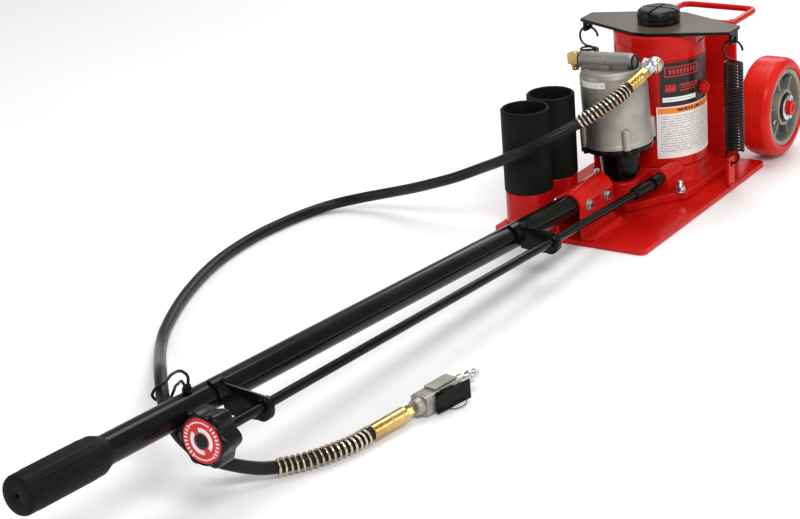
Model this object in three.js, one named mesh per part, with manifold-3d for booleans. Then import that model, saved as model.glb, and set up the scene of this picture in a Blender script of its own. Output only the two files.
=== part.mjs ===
// Air over hydraulic axle jack: a low base on two rear wheels, with a long pull handle.
// Millimetres, +Z up. The origin is on the ground under the ram's axis, the handle runs
// towards -Y, the wheels are towards +Y and +X is on the right when looking along +Y.
import * as THREE from 'three';
import { mergeVertices } from 'three/addons/utils/BufferGeometryUtils.js';
import Module from 'manifold-3d';

const wasm = await Module();
wasm.setup();

// clearances
const gap = 0.3;                 // between pieces that rest on each other
const slideGap = 0.4;            // around pieces that slide or turn

// base plate
const plateLeft = 130;
const plateRight = 114;
const plateFront = 286;
const plateRear = 118;
const plateThick = 8;
const plateCorner = 10;

// base casting
const flangeThick = 12;
const flangeMargin = 10;         // flange beyond the round body
const bodyMargin = 2.5;          // round body beyond the tank
const bodyHeight = 24;           // round body above the flange
const columnRadius = 27;
const columnHeight = 26;         // pump column above the flange
const stemX = 44;                // release valve axis
const stemZ = 42.2;
const valveBoxReach = 26;        // in front of the round body
const valveBoxRoot = 20;         // into the round body
const valveBoxHalf = 13;
const flangeBoltInset = 11;

// tank, cylinder and ram
const tankRadius = 67.5;
const tankWall = 4;
const tankHeight = 162.4;
const cylinderWall = 7.6;
const cylinderShort = 7.4;       // the cylinder is lower than the tank by this
const capHeight = 36.3;
const capFlatDepth = 2;          // wrench flats, into the cap nut
const capFlatHeight = 17;
const pistonHeight = 20;
const pistonLip = 4;             // piston beyond the ram
const ramRadius = 26;
const saddleRadius = 32;
const saddleHeight = 22;
const fillerZ = 156;
const fillerRadius = 9;

// return plate and springs
const returnHalfLength = 122;
const returnEndHalf = 18;
const returnMiddleHalf = 62;
const returnThick = 5;
const tabDrop = 22;
const tabHalf = 11;
const springX = 118.5;
const springRadius = 15;
const springWire = 3.4;
const springBottom = 62;
const tabHoleDrop = 15.6;        // from the plate's top to the spring's hole
const topHookRadius = 17;
const lowHookRadius = 12;
const lugX = 111.2;
const lugThick = 5;
const lugHalf = 10;
const lugTop = 61;

// rear frame, axle and wheels
const frameHalf = 70;
const frameThick = 6;
const frameTop = 225;
const axleY = 168;
const wheelLift = 3.8;           // wheels above the ground while the plate stands on it
const axleRadius = 11.5;
const axleHalf = 138;
const armX = 60;
const armThick = 8;
const wheelRadius = 76.2;
const treadWidth = 50.8;
const wheelMiddleX = 103;
const rimRadius = 59.4;
const bearingRadius = 22;
const washerThick = 2.2;
const loopZ = 219;
const loopHalf = 60;
const loopRear = 206;
const loopRod = 4.8;

// extension tubes
const extensionX = -87;
const extensionYs = [-250, -177];
const extensionRadius = 35;
const extensionWall = 4.5;
const extensionTop = 183;
const postTop = 62;
const stubRadius = 29;
const stubHeight = 40;

// handle
const handleX = -4;
const socketFront = 284;
const socketLength = 94;
const handleZ = 56.4;            // axis height at the socket's mouth
const handleRise = 4.18;         // degrees
const tubeRadius = 16.7;
const tubeWall = 3;
const handleReach = 1100;        // from the socket's mouth to the end of the grip
const tubeInSocket = 88;
const socketWall = 4;
const socketFoot = 13;
const socketBoltBacks = [20, 72];
const gripLength = 124;
const gripWall = 5.3;

// release rod
const stemReach = 36;            // from the valve box to the centre of the universal joint
const rodRadius = 6;
const rodRise = 3.44;            // degrees
const yokeRadius = 9.5;
const yokeLength = 48;
const crossHalf = 8;
const knobReach = 1028;          // from the joint's centre to the knob's face
const knobRadius = 33.5;
const knobLobe = 2.9;              // half the depth of a knob flute
const knobDepth = 30;
const discRadius = 26;
const rearBracketAt = 282;       // along the rod from the joint's centre
const frontBracketAt = 918;
const bracketYaw = 34;           // degrees
const webReach = 50;
const webHalf = 1.5;
const lobeRadius = 14;
const lobeHalf = 4;
const lobeDrop = 4;              // the lobe hangs this far below the rod
const strapHalf = 10;
const strapThick = 3;

// air motor, square to its own leaning axis
const pumpX = -4;
const motorClear = 6;            // between the tank and the motor
const pumpLean = 3;              // degrees to the left
const neckRadius = 22;
const neckTop = 10;
const collarRadius = 30;
const collarTop = 47;
const motorBaseTop = 56;
const motorRadius = 50.5;
const motorHeight = 112;
const valveTubeRadius = 12.5;
const valveTubeZ = 177;

// hose, and what is on it
const hoseRadius = 7.75;
const guardSlack = 1.5;
const guardWall = 1.8;
const ferruleWall = 1.85;
const swivelCentre = new THREE.Vector3(55.5, -124, 223.5);
const valveBodyStart = [100.5, -847, 14.5];
const valveBodyEnd = [118, -731.6, 16.5];
const valveBodyLength = 78;
const valveBodyHalf = 13;
const nippleLength = 36;
const leverStart = 24;
const leverLength = 54;
const leverThick = 3;
const leverHalf = 12.5;
const leverSplay = 7;            // degrees

const bodyRadius = tankRadius + bodyMargin;
const flangeHalf = bodyRadius + flangeMargin;
const flangeCornerY = bodyRadius + 18;
const valveBoxFront = bodyRadius + valveBoxReach;
const jointY = -(valveBoxFront + stemReach);
const pumpY = -(tankRadius + motorRadius + motorClear);
const cylinderInner = ramRadius + pistonLip + slideGap;
const cylinderOuter = cylinderInner + cylinderWall;
const capFlat = tankRadius - capFlatDepth;
const axleZ = wheelRadius + wheelLift;
const gripRadius = tubeRadius + gripWall;
const ferruleRadius = hoseRadius + ferruleWall;
const flangeZ = plateThick + gap;
const flangeTop = flangeZ + flangeThick;
const tankZ = flangeTop + bodyHeight + gap;
const capZ = tankZ + tankHeight + gap;
const capTop = capZ + capHeight;
const returnZ = capTop + gap;
const returnTop = returnZ + returnThick;
const springTop = returnTop - tabHoleDrop - topHookRadius * 2 + springWire / 2;
const handleTilt = -THREE.MathUtils.degToRad(handleRise);
const rodTilt = -THREE.MathUtils.degToRad(rodRise);
const guardBore = hoseRadius + guardSlack;
const guardRadius = guardBore + guardWall;

const red = { color: 0xc01812, roughness: 0.3, metalness: 0.1 };
const black = { color: 0x101112, roughness: 0.3, metalness: 0.2 };
const blackSteel = { color: 0x1c1d1c, roughness: 0.5, metalness: 0.3 };
const bareSteel = { color: 0xb9bcc0, roughness: 0.3, metalness: 0.9 };
const castAluminium = { color: 0xa3a2a0, roughness: 0.45, metalness: 0.7 };
const hubPaint = { color: 0xb5b09c, roughness: 0.5, metalness: 0.2 };
const tyreRed = { color: 0xd42a1c, roughness: 0.4, metalness: 0 };
const brass = { color: 0xc9a25a, roughness: 0.3, metalness: 0.9 };
const rubber = { color: 0x121313, roughness: 0.6, metalness: 0 };
const returnSteel = { color: 0x4b4740, roughness: 0.45, metalness: 0.4 };

const jack = new THREE.Group();

function addPart(name, geometry, look, parent = jack) {
  const mesh = new THREE.Mesh(facingOut(geometry), new THREE.MeshStandardMaterial(look));
  mesh.name = name;
  parent.add(mesh);
  return mesh;
}

// one shared vertex at each place, with no triangle that has shrunk to a line
function welded(geometry) {
  const bare = geometry.clone();
  bare.deleteAttribute('normal');
  bare.deleteAttribute('uv');
  const merged = mergeVertices(bare, 1e-4);
  const index = merged.index.array;
  const kept = [];
  for (let i = 0; i < index.length; i += 3) {
    const [a, b, c] = [index[i], index[i + 1], index[i + 2]];
    if (a !== b && b !== c && c !== a) kept.push(a, b, c);
  }
  merged.setIndex(kept);
  return merged;
}

function facingOut(geometry) {
  const merged = welded(geometry);
  const spot = merged.attributes.position;
  const index = merged.index.array;
  const [a, b, c] = [new THREE.Vector3(), new THREE.Vector3(), new THREE.Vector3()];
  let volume = 0;
  for (let i = 0; i < index.length; i += 3) {
    a.fromBufferAttribute(spot, index[i]);
    b.fromBufferAttribute(spot, index[i + 1]);
    c.fromBufferAttribute(spot, index[i + 2]);
    volume += a.dot(b.cross(c));
  }
  if (volume < 0) {
    const turned = [];
    for (let i = 0; i < index.length; i += 3) turned.push(index[i], index[i + 2], index[i + 1]);
    merged.setIndex(turned);
  }
  return merged;
}

function toSolid(geometry) {
  const closed = facingOut(geometry);
  const vertProperties = new Float32Array(closed.attributes.position.array);
  const triVerts = new Uint32Array(closed.index.array);
  return new wasm.Manifold(new wasm.Mesh({ numProp: 3, vertProperties, triVerts }));
}

function toGeometry(solid) {
  const mesh = solid.getMesh();
  const geometry = new THREE.BufferGeometry();
  geometry.setAttribute('position', new THREE.BufferAttribute(mesh.vertProperties, 3));
  geometry.setIndex(Array.from(mesh.triVerts));
  return geometry;
}

function joined(...pieces) {
  return toGeometry(pieces.map(toSolid).reduce((whole, piece) => whole.add(piece)));
}

function cut(stock, ...tools) {
  return toGeometry(tools.map(toSolid).reduce((left, tool) => left.subtract(tool), toSolid(stock)));
}

const axisTurns = { x: [0, 0, -Math.PI / 2], y: [0, 0, 0], z: [Math.PI / 2, 0, 0] };

function turnedTo(geometry, axis) {
  const [x, y, z] = axisTurns[axis];
  return geometry.rotateX(x).rotateY(y).rotateZ(z);
}

// a cylinder about an axis, from one place on it to another
function drum(axis, radius, from, to, sides = 24, endRadius = radius) {
  const geometry = new THREE.CylinderGeometry(endRadius, radius, to - from, sides);
  geometry.translate(0, (from + to) / 2, 0);
  return turnedTo(geometry, axis);
}

// a profile of [radius, place on the axis] pairs turned about an axis
function lathe(axis, profile, sides = 40) {
  const points = profile.map(([radius, along]) => new THREE.Vector2(radius, along));
  return turnedTo(new THREE.LatheGeometry(points, sides), axis);
}

// a tube or ring of square section about an axis
function sleeve(axis, inner, outer, from, to, sides = 40) {
  return lathe(axis, [[inner, from], [outer, from], [outer, to], [inner, to], [inner, from]], sides);
}

function block(x0, x1, y0, y1, z0, z1) {
  const geometry = new THREE.BoxGeometry(x1 - x0, y1 - y0, z1 - z0);
  return geometry.translate((x0 + x1) / 2, (y0 + y1) / 2, (z0 + z1) / 2);
}

function roundedOutline(x0, y0, x1, y1, radius) {
  const shape = new THREE.Shape();
  shape.absarc(x1 - radius, y0 + radius, radius, -Math.PI / 2, 0);
  shape.absarc(x1 - radius, y1 - radius, radius, 0, Math.PI / 2);
  shape.absarc(x0 + radius, y1 - radius, radius, Math.PI / 2, Math.PI);
  shape.absarc(x0 + radius, y0 + radius, radius, Math.PI, Math.PI * 1.5);
  return shape;
}

function slab(shape, from, to, curveSegments = 6) {
  const settings = { depth: to - from, bevelEnabled: false, curveSegments };
  return new THREE.ExtrudeGeometry(shape, settings).translate(0, 0, from);
}

function polygon(points) {
  return new THREE.Shape(points.map(([x, y]) => new THREE.Vector2(x, y)));
}

function roundSection(radius, sides) {
  const shape = new THREE.Shape();
  for (let i = 0; i < sides; i += 1) {
    const angle = (i / sides) * Math.PI * 2;
    const spot = [radius * Math.cos(angle), radius * Math.sin(angle)];
    if (i === 0) shape.moveTo(...spot);
    else shape.lineTo(...spot);
  }
  return shape;
}

function smoothLine(points) {
  return new THREE.CatmullRomCurve3(points.map((spot) => new THREE.Vector3(...spot)), false, 'centripetal');
}

// a round bar or tube along a smooth line through the points
function bentBar(points, radius, sides, steps, bore = 0) {
  const shape = roundSection(radius, sides);
  if (bore) shape.holes.push(roundSection(bore, sides));
  return new THREE.ExtrudeGeometry(shape, { steps, extrudePath: smoothLine(points), bevelEnabled: false });
}

function group(x, y, z, tilt = 0, lean = 0) {
  const holder = new THREE.Group();
  holder.position.set(x, y, z);
  holder.rotation.set(tilt, lean, 0);
  jack.add(holder);
  return holder;
}

const sides = [['left', -1], ['right', 1]];

function addBasePlate() {
  const outline = roundedOutline(-plateLeft, -plateFront, plateRight, plateRear, plateCorner);
  addPart('base_plate', slab(outline, 0, plateThick), red);
}

function addBaseCasting() {
  const frontHalf = 30;
  const rearHalf = 45;
  const frontY = pumpY - columnRadius - 12;
  const sideY = bodyRadius - 20;
  const rearY = bodyRadius + 14;
  const outline = polygon([
    [flangeHalf, -flangeCornerY], [flangeHalf, sideY], [rearHalf, rearY], [-rearHalf, rearY],
    [-flangeHalf, sideY], [-flangeHalf, -flangeCornerY],
    [pumpX - frontHalf, frontY], [pumpX + frontHalf, frontY],
  ]);
  const columnTop = flangeTop + columnHeight;
  const web = block(pumpX - 20, pumpX + 20, pumpY, -bodyRadius + 8, flangeTop - 1, columnTop - 6);
  const half = valveBoxHalf;
  const valveBox = block(-half, half, -valveBoxFront, valveBoxRoot - bodyRadius, flangeTop - 1, stemZ + half);
  valveBox.translate(stemX, 0, 0);
  addPart('base_casting', joined(
    slab(outline, flangeZ, flangeTop),
    drum('z', bodyRadius, flangeTop - 1, flangeTop + bodyHeight, 40),
    drum('z', columnRadius, flangeTop - 1, columnTop, 24).translate(pumpX, pumpY, 0),
    web,
    cut(valveBox, drum('z', bodyRadius - 2, 0, capTop, 40)),
  ), red);
}

function addFlangeBolts() {
  for (const [side, sign] of sides) {
    const bolt = joined(
      drum('z', 8, flangeTop + gap, flangeTop + 8, 6),
      drum('z', 4.5, flangeTop + 4, flangeTop + 17, 12),
    );
    const boltX = sign * (flangeHalf - flangeBoltInset);
    addPart(`flange_bolt_${side}`, bolt.translate(boltX, 6 - flangeCornerY, 0), bareSteel);
  }
}

function addTank() {
  const shell = sleeve('z', tankRadius - tankWall, tankRadius, tankZ, tankZ + tankHeight, 48);
  const fillerBore = drum('x', fillerRadius - 2, tankRadius - 9, tankRadius + 9, 16);
  addPart('reservoir_tank', cut(shell, fillerBore.translate(0, 0, fillerZ)), red);

  const stem = drum('x', fillerRadius - 2 - gap, tankRadius - tankWall, tankRadius + 2, 16);
  const head = lathe('x', [
    [0, tankRadius + gap], [fillerRadius, tankRadius + gap], [fillerRadius, tankRadius + 8],
    [fillerRadius - 2.5, tankRadius + 12], [0, tankRadius + 12],
  ], 16);
  addPart('filler_plug', joined(stem, head).translate(0, 0, fillerZ), red);

  const cylinderTop = tankZ + tankHeight - cylinderShort;
  addPart('pressure_cylinder', sleeve('z', cylinderInner, cylinderOuter, tankZ, cylinderTop, 32), bareSteel);
}

function addCapNut() {
  const bore = ramRadius + slideGap;
  const flats = [5, 125, 245].map((degrees) => {
    const flat = block(capFlat, tankRadius + 9, -tankRadius, tankRadius, capTop - capFlatHeight, capTop + 9);
    return flat.rotateZ(THREE.MathUtils.degToRad(degrees));
  });
  const cap = lathe('z', [
    [bore, capZ], [tankRadius, capZ], [tankRadius, capTop - 3],
    [tankRadius - 3, capTop], [bore, capTop], [bore, capZ],
  ], 48);
  addPart('cap_nut', cut(cap, ...flats), red);
}

function addRam() {
  const pistonZ = tankZ + 4;
  const ramTop = returnTop + 8;
  addPart('ram', lathe('z', [
    [0, pistonZ], [cylinderInner - slideGap, pistonZ], [cylinderInner - slideGap, pistonZ + pistonHeight],
    [ramRadius, pistonZ + pistonHeight], [ramRadius, capTop - 2], [ramRadius - 8, capTop - 2],
    [ramRadius - 8, ramTop], [0, ramTop],
  ], 32), bareSteel);

  // the return plate's hole sits on the ram's shoulder, and the saddle caps them both
  const bore = ramRadius - 8 + gap;
  const top = returnTop + gap + saddleHeight;
  const crown = lathe('z', [
    [0, ramTop + gap], [bore, ramTop + gap], [bore, returnTop + gap], [saddleRadius - 2, returnTop + gap],
    [saddleRadius, returnTop + 3], [saddleRadius, top - 9], [saddleRadius - 3, top - 4],
    [saddleRadius - 10, top], [0, top],
  ], 28);
  const groove = block(-saddleRadius - 1, saddleRadius + 1, -2, 2, top - 4, top + 4);
  addPart('saddle', cut(crown, groove, groove.clone().rotateZ(Math.PI / 2)), black);
}

function addReturnPlate() {
  const end = returnHalfLength;
  const outline = polygon([
    [end, -returnEndHalf], [end, returnEndHalf], [14, returnMiddleHalf], [-14, returnMiddleHalf],
    [-end, returnEndHalf], [-end, -returnEndHalf], [-14, -returnMiddleHalf], [14, -returnMiddleHalf],
  ]);
  const holeZ = returnTop - tabHoleDrop;
  const tabs = sides.map(([, sign]) => {
    const [near, far] = sign > 0 ? [end - returnThick, end] : [-end, returnThick - end];
    const tab = block(near, far, -tabHalf, tabHalf, returnTop - tabDrop, returnTop);
    return cut(tab, drum('x', 4.6, near - 1, far + 1, 12).translate(0, 0, holeZ));
  });
  const bore = drum('z', ramRadius - 8 + gap, returnZ - 1, returnTop + 1, 24);
  addPart('return_plate', joined(cut(slab(outline, returnZ, returnTop), bore), ...tabs), returnSteel);
}

function addReturnSprings() {
  const hook = (radius, z) => {
    const ring = new THREE.TorusGeometry(radius - springWire / 2, springWire / 2, 6, 14);
    return ring.rotateX(Math.PI / 2).translate(0, 0, z);
  };
  for (const [side, sign] of sides) {
    const lowX = lugX - springX;
    const spring = joined(
      drum('z', springRadius, springBottom, springTop, 16),
      hook(topHookRadius, springTop + topHookRadius - springWire / 2),
      hook(lowHookRadius, springBottom - lowHookRadius + springWire / 2).translate(sign * lowX / 2, 0, 0),
    );
    addPart(`return_spring_${side}`, spring.translate(sign * springX, 0, 0), blackSteel);

    const holeZ = springBottom - lowHookRadius * 2 + springWire;
    const lug = block(-lugThick / 2, lugThick / 2, -lugHalf, lugHalf, plateThick + gap, lugTop - 8);
    const slot = drum('x', 4.6, -9, 9, 12).translate(0, 0, holeZ);
    addPart(`spring_lug_${side}`, cut(lug, slot).translate(sign * lugX, 0, 0), red);
  }
}

function addRearFrame() {
  const rear = plateRear;
  const front = rear - frameThick;
  addPart('rear_frame', block(-frameHalf, frameHalf, front, rear, plateThick + gap, frameTop), red);
  for (const [side, sign] of sides) {
    const profile = polygon([
      [rear + gap, axleZ - 22], [axleY + 8, axleZ - 18], [axleY + 18, axleZ - 8],
      [axleY + 18, axleZ + 8], [axleY + 8, axleZ + 18], [rear + gap, axleZ + 40],
    ]);
    const arm = slab(profile, -armThick / 2, armThick / 2).rotateX(Math.PI / 2).rotateZ(Math.PI / 2);
    const bore = drum('x', axleRadius + gap, -armThick, armThick, 24).translate(0, axleY, axleZ);
    addPart(`axle_arm_${side}`, cut(arm, bore).translate(sign * armX, 0, 0), red);
  }
  const bend = 14;
  const bar = [[-loopHalf, rear + gap, loopZ], [-loopHalf, loopRear - bend, loopZ]];
  for (const degrees of [20, 45, 70]) {
    const angle = THREE.MathUtils.degToRad(degrees);
    bar.push([-loopHalf + bend * (1 - Math.cos(angle)), loopRear - bend * (1 - Math.sin(angle)), loopZ]);
  }
  bar.push([-loopHalf + bend, loopRear, loopZ]);
  const mirrored = bar.map(([x, y, z]) => [-x, y, z]).reverse();
  addPart('carry_loop', bentBar([...bar, ...mirrored], loopRod, 8, 30), red);
}

function addWheels() {
  const pinBore = 2.4;
  const pinX = axleHalf - 4.2;
  const bores = sides.map(([, sign]) => drum('z', pinBore, -30, 30, 10).translate(sign * pinX, 0, 0));
  const shaft = cut(drum('x', axleRadius, -axleHalf, axleHalf, 24), ...bores);
  addPart('axle', shaft.translate(0, axleY, axleZ), red);

  const half = treadWidth / 2;
  const tyreProfile = [
    [rimRadius + gap, -half + 3], [rimRadius + 3, -half], [wheelRadius - 11, -half],
    [wheelRadius - 3, -half + 6], [wheelRadius, -half + 14], [wheelRadius, half - 14],
    [wheelRadius - 3, half - 6], [wheelRadius - 11, half], [rimRadius + 3, half],
    [rimRadius + gap, half - 3], [rimRadius + gap, -half + 3],
  ];
  const seat = bearingRadius + gap;
  const hubProfile = [
    [seat, -half + 2], [seat + 6, -half + 2], [seat + 6, -6], [rimRadius - 9, -5], [rimRadius - 7, -half + 2],
    [rimRadius, -half + 2], [rimRadius, half - 2], [rimRadius - 7, half - 2], [rimRadius - 9, 5],
    [seat + 6, 6], [seat + 6, half - 2], [seat, half - 2], [seat, -half + 2],
  ];
  for (const [side, sign] of sides) {
    const x = sign * wheelMiddleX;
    addPart(`tyre_${side}`, lathe('x', tyreProfile, 44).translate(x, axleY, axleZ), tyreRed);
    const ribs = [];
    for (let i = 0; i < 6; i += 1) {
      const rib = block(-half + 5, half - 5, -2, 2, seat + 3, rimRadius - 5);
      ribs.push(rib.rotateX((i / 6) * Math.PI * 2));
    }
    const hub = joined(lathe('x', hubProfile, 28), ...ribs);
    addPart(`wheel_hub_${side}`, hub.translate(x, axleY, axleZ), hubPaint);
    const bearing = sleeve('x', axleRadius + slideGap, bearingRadius, -half, half, 24);
    addPart(`wheel_bearing_${side}`, bearing.translate(x, axleY, axleZ), blackSteel);

    const washerX = wheelMiddleX + half + slideGap;
    const washer = sleeve('x', axleRadius + gap, 19, washerX, washerX + washerThick, 24);
    if (sign < 0) washer.rotateZ(Math.PI);
    addPart(`axle_washer_${side}`, washer.translate(0, axleY, axleZ), bareSteel);
    const pin = drum('z', pinBore - gap, -axleRadius - 5, axleRadius + 9, 8);
    addPart(`axle_pin_${side}`, pin.translate(sign * pinX, axleY, axleZ), bareSteel);
  }
}

function addExtensions() {
  const names = ['front', 'rear'];
  names.forEach((name, i) => {
    const y = extensionYs[i];
    const post = joined(
      drum('z', extensionRadius - 1, plateThick + gap, postTop, 28),
      drum('z', stubRadius, postTop - 1, postTop + stubHeight, 24),
    );
    addPart(`extension_post_${name}`, post.translate(extensionX, y, 0), red);
    const inner = extensionRadius - extensionWall;
    const tube = sleeve('z', inner, extensionRadius, postTop + gap, extensionTop, 36);
    addPart(`extension_tube_${name}`, tube.translate(extensionX, y, 0), blackSteel);
  });
}

function addSocketAndHandle() {
  // the socket is square to the ground, and its bore leans with the handle
  const outer = tubeRadius + gap + socketWall;
  const rear = -socketFront + socketLength;
  const arch = new THREE.Shape();
  const foot = plateThick + gap;
  arch.moveTo(-outer - socketFoot, foot);
  arch.lineTo(outer + socketFoot, foot);
  arch.lineTo(outer + socketFoot, foot + 5);
  arch.lineTo(outer, foot + 5);
  arch.lineTo(outer, handleZ);
  arch.absarc(0, handleZ, outer, 0, Math.PI);
  arch.lineTo(-outer, foot + 5);
  arch.lineTo(-outer - socketFoot, foot + 5);
  const body = slab(arch, 0, socketLength, 10).rotateX(Math.PI / 2).translate(0, rear, 0);
  const bore = drum('y', tubeRadius + gap, -socketLength * 1.5, socketLength, 32).rotateX(handleTilt);
  const under = block(-tubeRadius - gap, tubeRadius + gap, -socketFront - 9, rear + 9, 0, handleZ - 10);
  const boltBores = socketBoltBacks.map((back) => {
    const z = handleZ - back * Math.tan(-handleTilt);
    return drum('x', 4.4, -99, 99, 12).translate(0, back - socketFront, z);
  });
  const boreHere = bore.translate(0, -socketFront, handleZ);
  addPart('handle_socket', cut(body, boreHere, under, ...boltBores).translate(handleX, 0, 0), red);

  const holder = group(handleX, -socketFront, handleZ, handleTilt);
  const grip = handleReach - gripLength;
  const tube = sleeve('y', tubeRadius - tubeWall, tubeRadius, -handleReach + 8, tubeInSocket, 28);
  const tubeBores = socketBoltBacks.map((back) => drum('x', 4.4, -99, 99, 12).translate(0, back, 0));
  addPart('handle_tube', cut(tube, ...tubeBores), black, holder);

  const bolts = ['front', 'rear'];
  bolts.forEach((name, i) => {
    const reach = outer + gap;
    const bolt = joined(
      drum('x', 4, -reach - 12, reach + 4, 12),
      drum('x', 7.5, reach, reach + 6, 6),
      drum('x', 7.5, -reach - 7, -reach, 6),
    );
    const z = handleZ - socketBoltBacks[i] * Math.tan(-handleTilt);
    addPart(`socket_bolt_${name}`, bolt.translate(handleX, socketBoltBacks[i] - socketFront, z), bareSteel);
  });

  const gripBore = tubeRadius + gap;
  addPart('handle_grip', lathe('y', [
    [0, -handleReach], [gripRadius - 2, -handleReach], [gripRadius, -handleReach + 3],
    [gripRadius, -grip - 10], [gripRadius - 4, -grip], [gripBore, -grip],
    [gripBore, -handleReach + 7], [0, -handleReach + 7],
  ], 32), rubber, holder);

  // a wire arm goes out from a bolted foot, round the hose and back
  const footAt = -(handleReach - 263);
  const footZ = tubeRadius + gap;
  const fromFoot = (points) => points.map(([x, y, z]) => [x, footAt + y, z]);
  const outward = bentBar(fromFoot([
    [-1, 2, footZ + 2], [-4, 7, 31], [-18, 13, 33], [-40, 22, 22], [-58, 29, 6],
    [-69, 27, -1.5], [-73.5, 25, -10.5], [-71, 32, -19], [-62, 40, -18], [-57, 41, -10],
  ]), 2, 6, 36);
  const back = bentBar(fromFoot([
    [-57, 41, -11], [-50, 38, 0], [-36, 28, 10], [-20, 15, 20], [-4, 3, footZ + 2],
  ]), 2, 6, 16);
  const guideFoot = drum('z', 6, footZ, footZ + 3, 12).translate(0, footAt, 0);
  const bolt = drum('z', 5, footZ + 2, footZ + 8, 6).translate(0, footAt, 0);
  addPart('hose_guide', joined(outward, back, guideFoot, bolt), blackSteel, holder);
}

// a bracket: a strap bolted on the handle, a slanted web, and a lobe that carries the release rod
function addRodBracket(name, along) {
  const yaw = THREE.MathUtils.degToRad(bracketYaw);
  const y = jointY - along;
  const rodZ = stemZ + along * Math.tan(-rodTilt);
  const strapBack = webReach * Math.sin(yaw);
  const handleRiseHere = handleZ + (strapBack - socketFront - y) * Math.tan(-handleTilt) - rodZ;
  const handleSide = handleX - stemX;
  const holder = group(stemX, y, rodZ);

  const lobe = drum('y', lobeRadius, -lobeHalf, lobeHalf, 20).rotateX(rodTilt).translate(-2, 0, -lobeDrop);
  const outline = polygon([
    [-webReach, handleRiseHere + tubeRadius + 1.5], [-webReach + 8, -6], [-19, -14],
    [-4, -lobeDrop - lobeRadius + 1], [8, -14], [lobeRadius - 3, -lobeDrop], [8, 8], [0, lobeRadius - 1],
  ]);
  const web = slab(outline, -webHalf, webHalf).rotateX(Math.PI / 2).rotateZ(yaw);

  const inner = tubeRadius + gap;
  const strapOuter = inner + strapThick;
  const strap = cut(
    sleeve('y', inner, strapOuter, -strapHalf, strapHalf, 32),
    block(-strapOuter - 1, 2, -strapHalf - 1, strapHalf + 1, -strapOuter - 1, strapOuter + 1),
    block(-1, strapOuter + 1, -strapHalf - 1, strapHalf + 1, -strapOuter - 1, -3),
  );
  strap.rotateX(handleTilt).translate(handleSide, -strapBack, handleRiseHere);
  const rodBore = drum('y', rodRadius + slideGap * 2, -99, 99, 16).rotateX(rodTilt);
  const tubeBore = drum('y', inner, -99, 99, 32).rotateX(handleTilt);
  tubeBore.translate(handleSide, -strapBack, handleRiseHere);
  addPart(name, joined(cut(joined(web, lobe), rodBore, tubeBore), strap), black, holder);
}

function addReleaseRod() {
  const holder = group(stemX, jointY, stemZ, rodTilt);
  const rodEnd = knobReach - knobDepth + 6;
  const rod = joined(
    drum('y', rodRadius, -rodEnd, -yokeLength + 2, 14),
    drum('y', yokeRadius, -yokeLength, -crossHalf - gap, 14),
  );
  addPart('release_rod', rod, black, holder);
  addPart('joint_cross', drum('y', yokeRadius - 2, -crossHalf, crossHalf, 14), blackSteel, holder);

  const valveHolder = group(stemX, jointY, stemZ);
  const stem = joined(
    drum('y', yokeRadius, crossHalf + gap * 2, 20, 14),
    drum('y', yokeRadius - 1, 19, -jointY - valveBoxFront - gap, 14),
  );
  addPart('release_valve_stem', stem, black, valveHolder);
}

function addKnob() {
  const holder = group(stemX, jointY, stemZ, rodTilt);
  const shape = new THREE.Shape();
  const lobes = 6;
  const points = lobes * 8;
  for (let i = 0; i < points; i += 1) {
    const angle = (i / points) * Math.PI * 2;
    const radius = knobRadius - knobLobe + knobLobe * Math.cos(angle * lobes);
    const spot = [radius * Math.cos(angle), radius * Math.sin(angle)];
    if (i === 0) shape.moveTo(...spot);
    else shape.lineTo(...spot);
  }
  const body = slab(shape, -knobDepth / 2, knobDepth / 2).rotateX(Math.PI / 2);
  const rear = -knobReach + knobDepth;
  const front = -knobReach;
  const stock = body.translate(0, (rear + front) / 2, 0);
  const recess = drum('y', discRadius + gap, front - 1, front + 2.5, 32);
  const bore = drum('y', rodRadius + gap, rear - 7, rear + 1, 14);
  addPart('release_knob', cut(stock, recess, bore), black, holder);
  addPart('knob_disc', drum('y', discRadius, front + 0.4, front + 2.5 - gap, 32), red, holder);
}

function addAirMotor() {
  const lean = -THREE.MathUtils.degToRad(pumpLean);
  const holder = group(pumpX, pumpY, flangeTop + columnHeight, 0, lean);
  const neck = drum('z', neckRadius, 1.6, neckTop + 1, 20);
  const collar = drum('z', collarRadius - 2, neckTop, collarTop, 20, collarRadius);
  addPart('pump_collar', joined(neck, collar), black, holder);

  const lugAngles = [-48, -138, 132, 42].map(THREE.MathUtils.degToRad);
  const lugReach = motorRadius - 1;
  const screws = lugAngles.map((angle) => {
    const screw = drum('z', 4.5, collarTop - 2, motorBaseTop - 1, 8);
    return screw.translate(Math.cos(angle) * lugReach, Math.sin(angle) * lugReach, 0);
  });
  const base = joined(drum('z', motorRadius, collarTop + gap, motorBaseTop, 40), ...screws);
  addPart('motor_base', base, black, holder);

  const low = motorBaseTop + gap;
  const top = low + motorHeight;
  const can = lathe('z', [
    [0, low], [motorRadius, low], [motorRadius, low + 5], [motorRadius - 1.5, low + 7],
    [motorRadius - 2, top - 10], [motorRadius - 5, top - 3], [motorRadius - 12, top], [0, top],
  ], 40);
  const lugs = lugAngles.map((angle) => {
    const lug = drum('z', 6.5, low, low + 30, 12);
    return lug.translate(Math.cos(angle) * lugReach, Math.sin(angle) * lugReach, 0);
  });
  const valveTube = drum('x', valveTubeRadius, -51, 37, 24).translate(0, 0, valveTubeZ);
  const saddle = block(-44, 32, -valveTubeRadius, valveTubeRadius, top - 4, valveTubeZ);
  addPart('air_motor_body', joined(can, ...lugs, valveTube, saddle), castAluminium, holder);

  const elbow = joined(
    block(-69, -51 - gap, -8, 8, valveTubeZ - 6, valveTubeZ + 10),
    drum('z', 5.5, valveTubeZ - 16, valveTubeZ - 5, 12).translate(-61, 0, 0),
  );
  addPart('brass_elbow', elbow, brass, holder);
}

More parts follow.
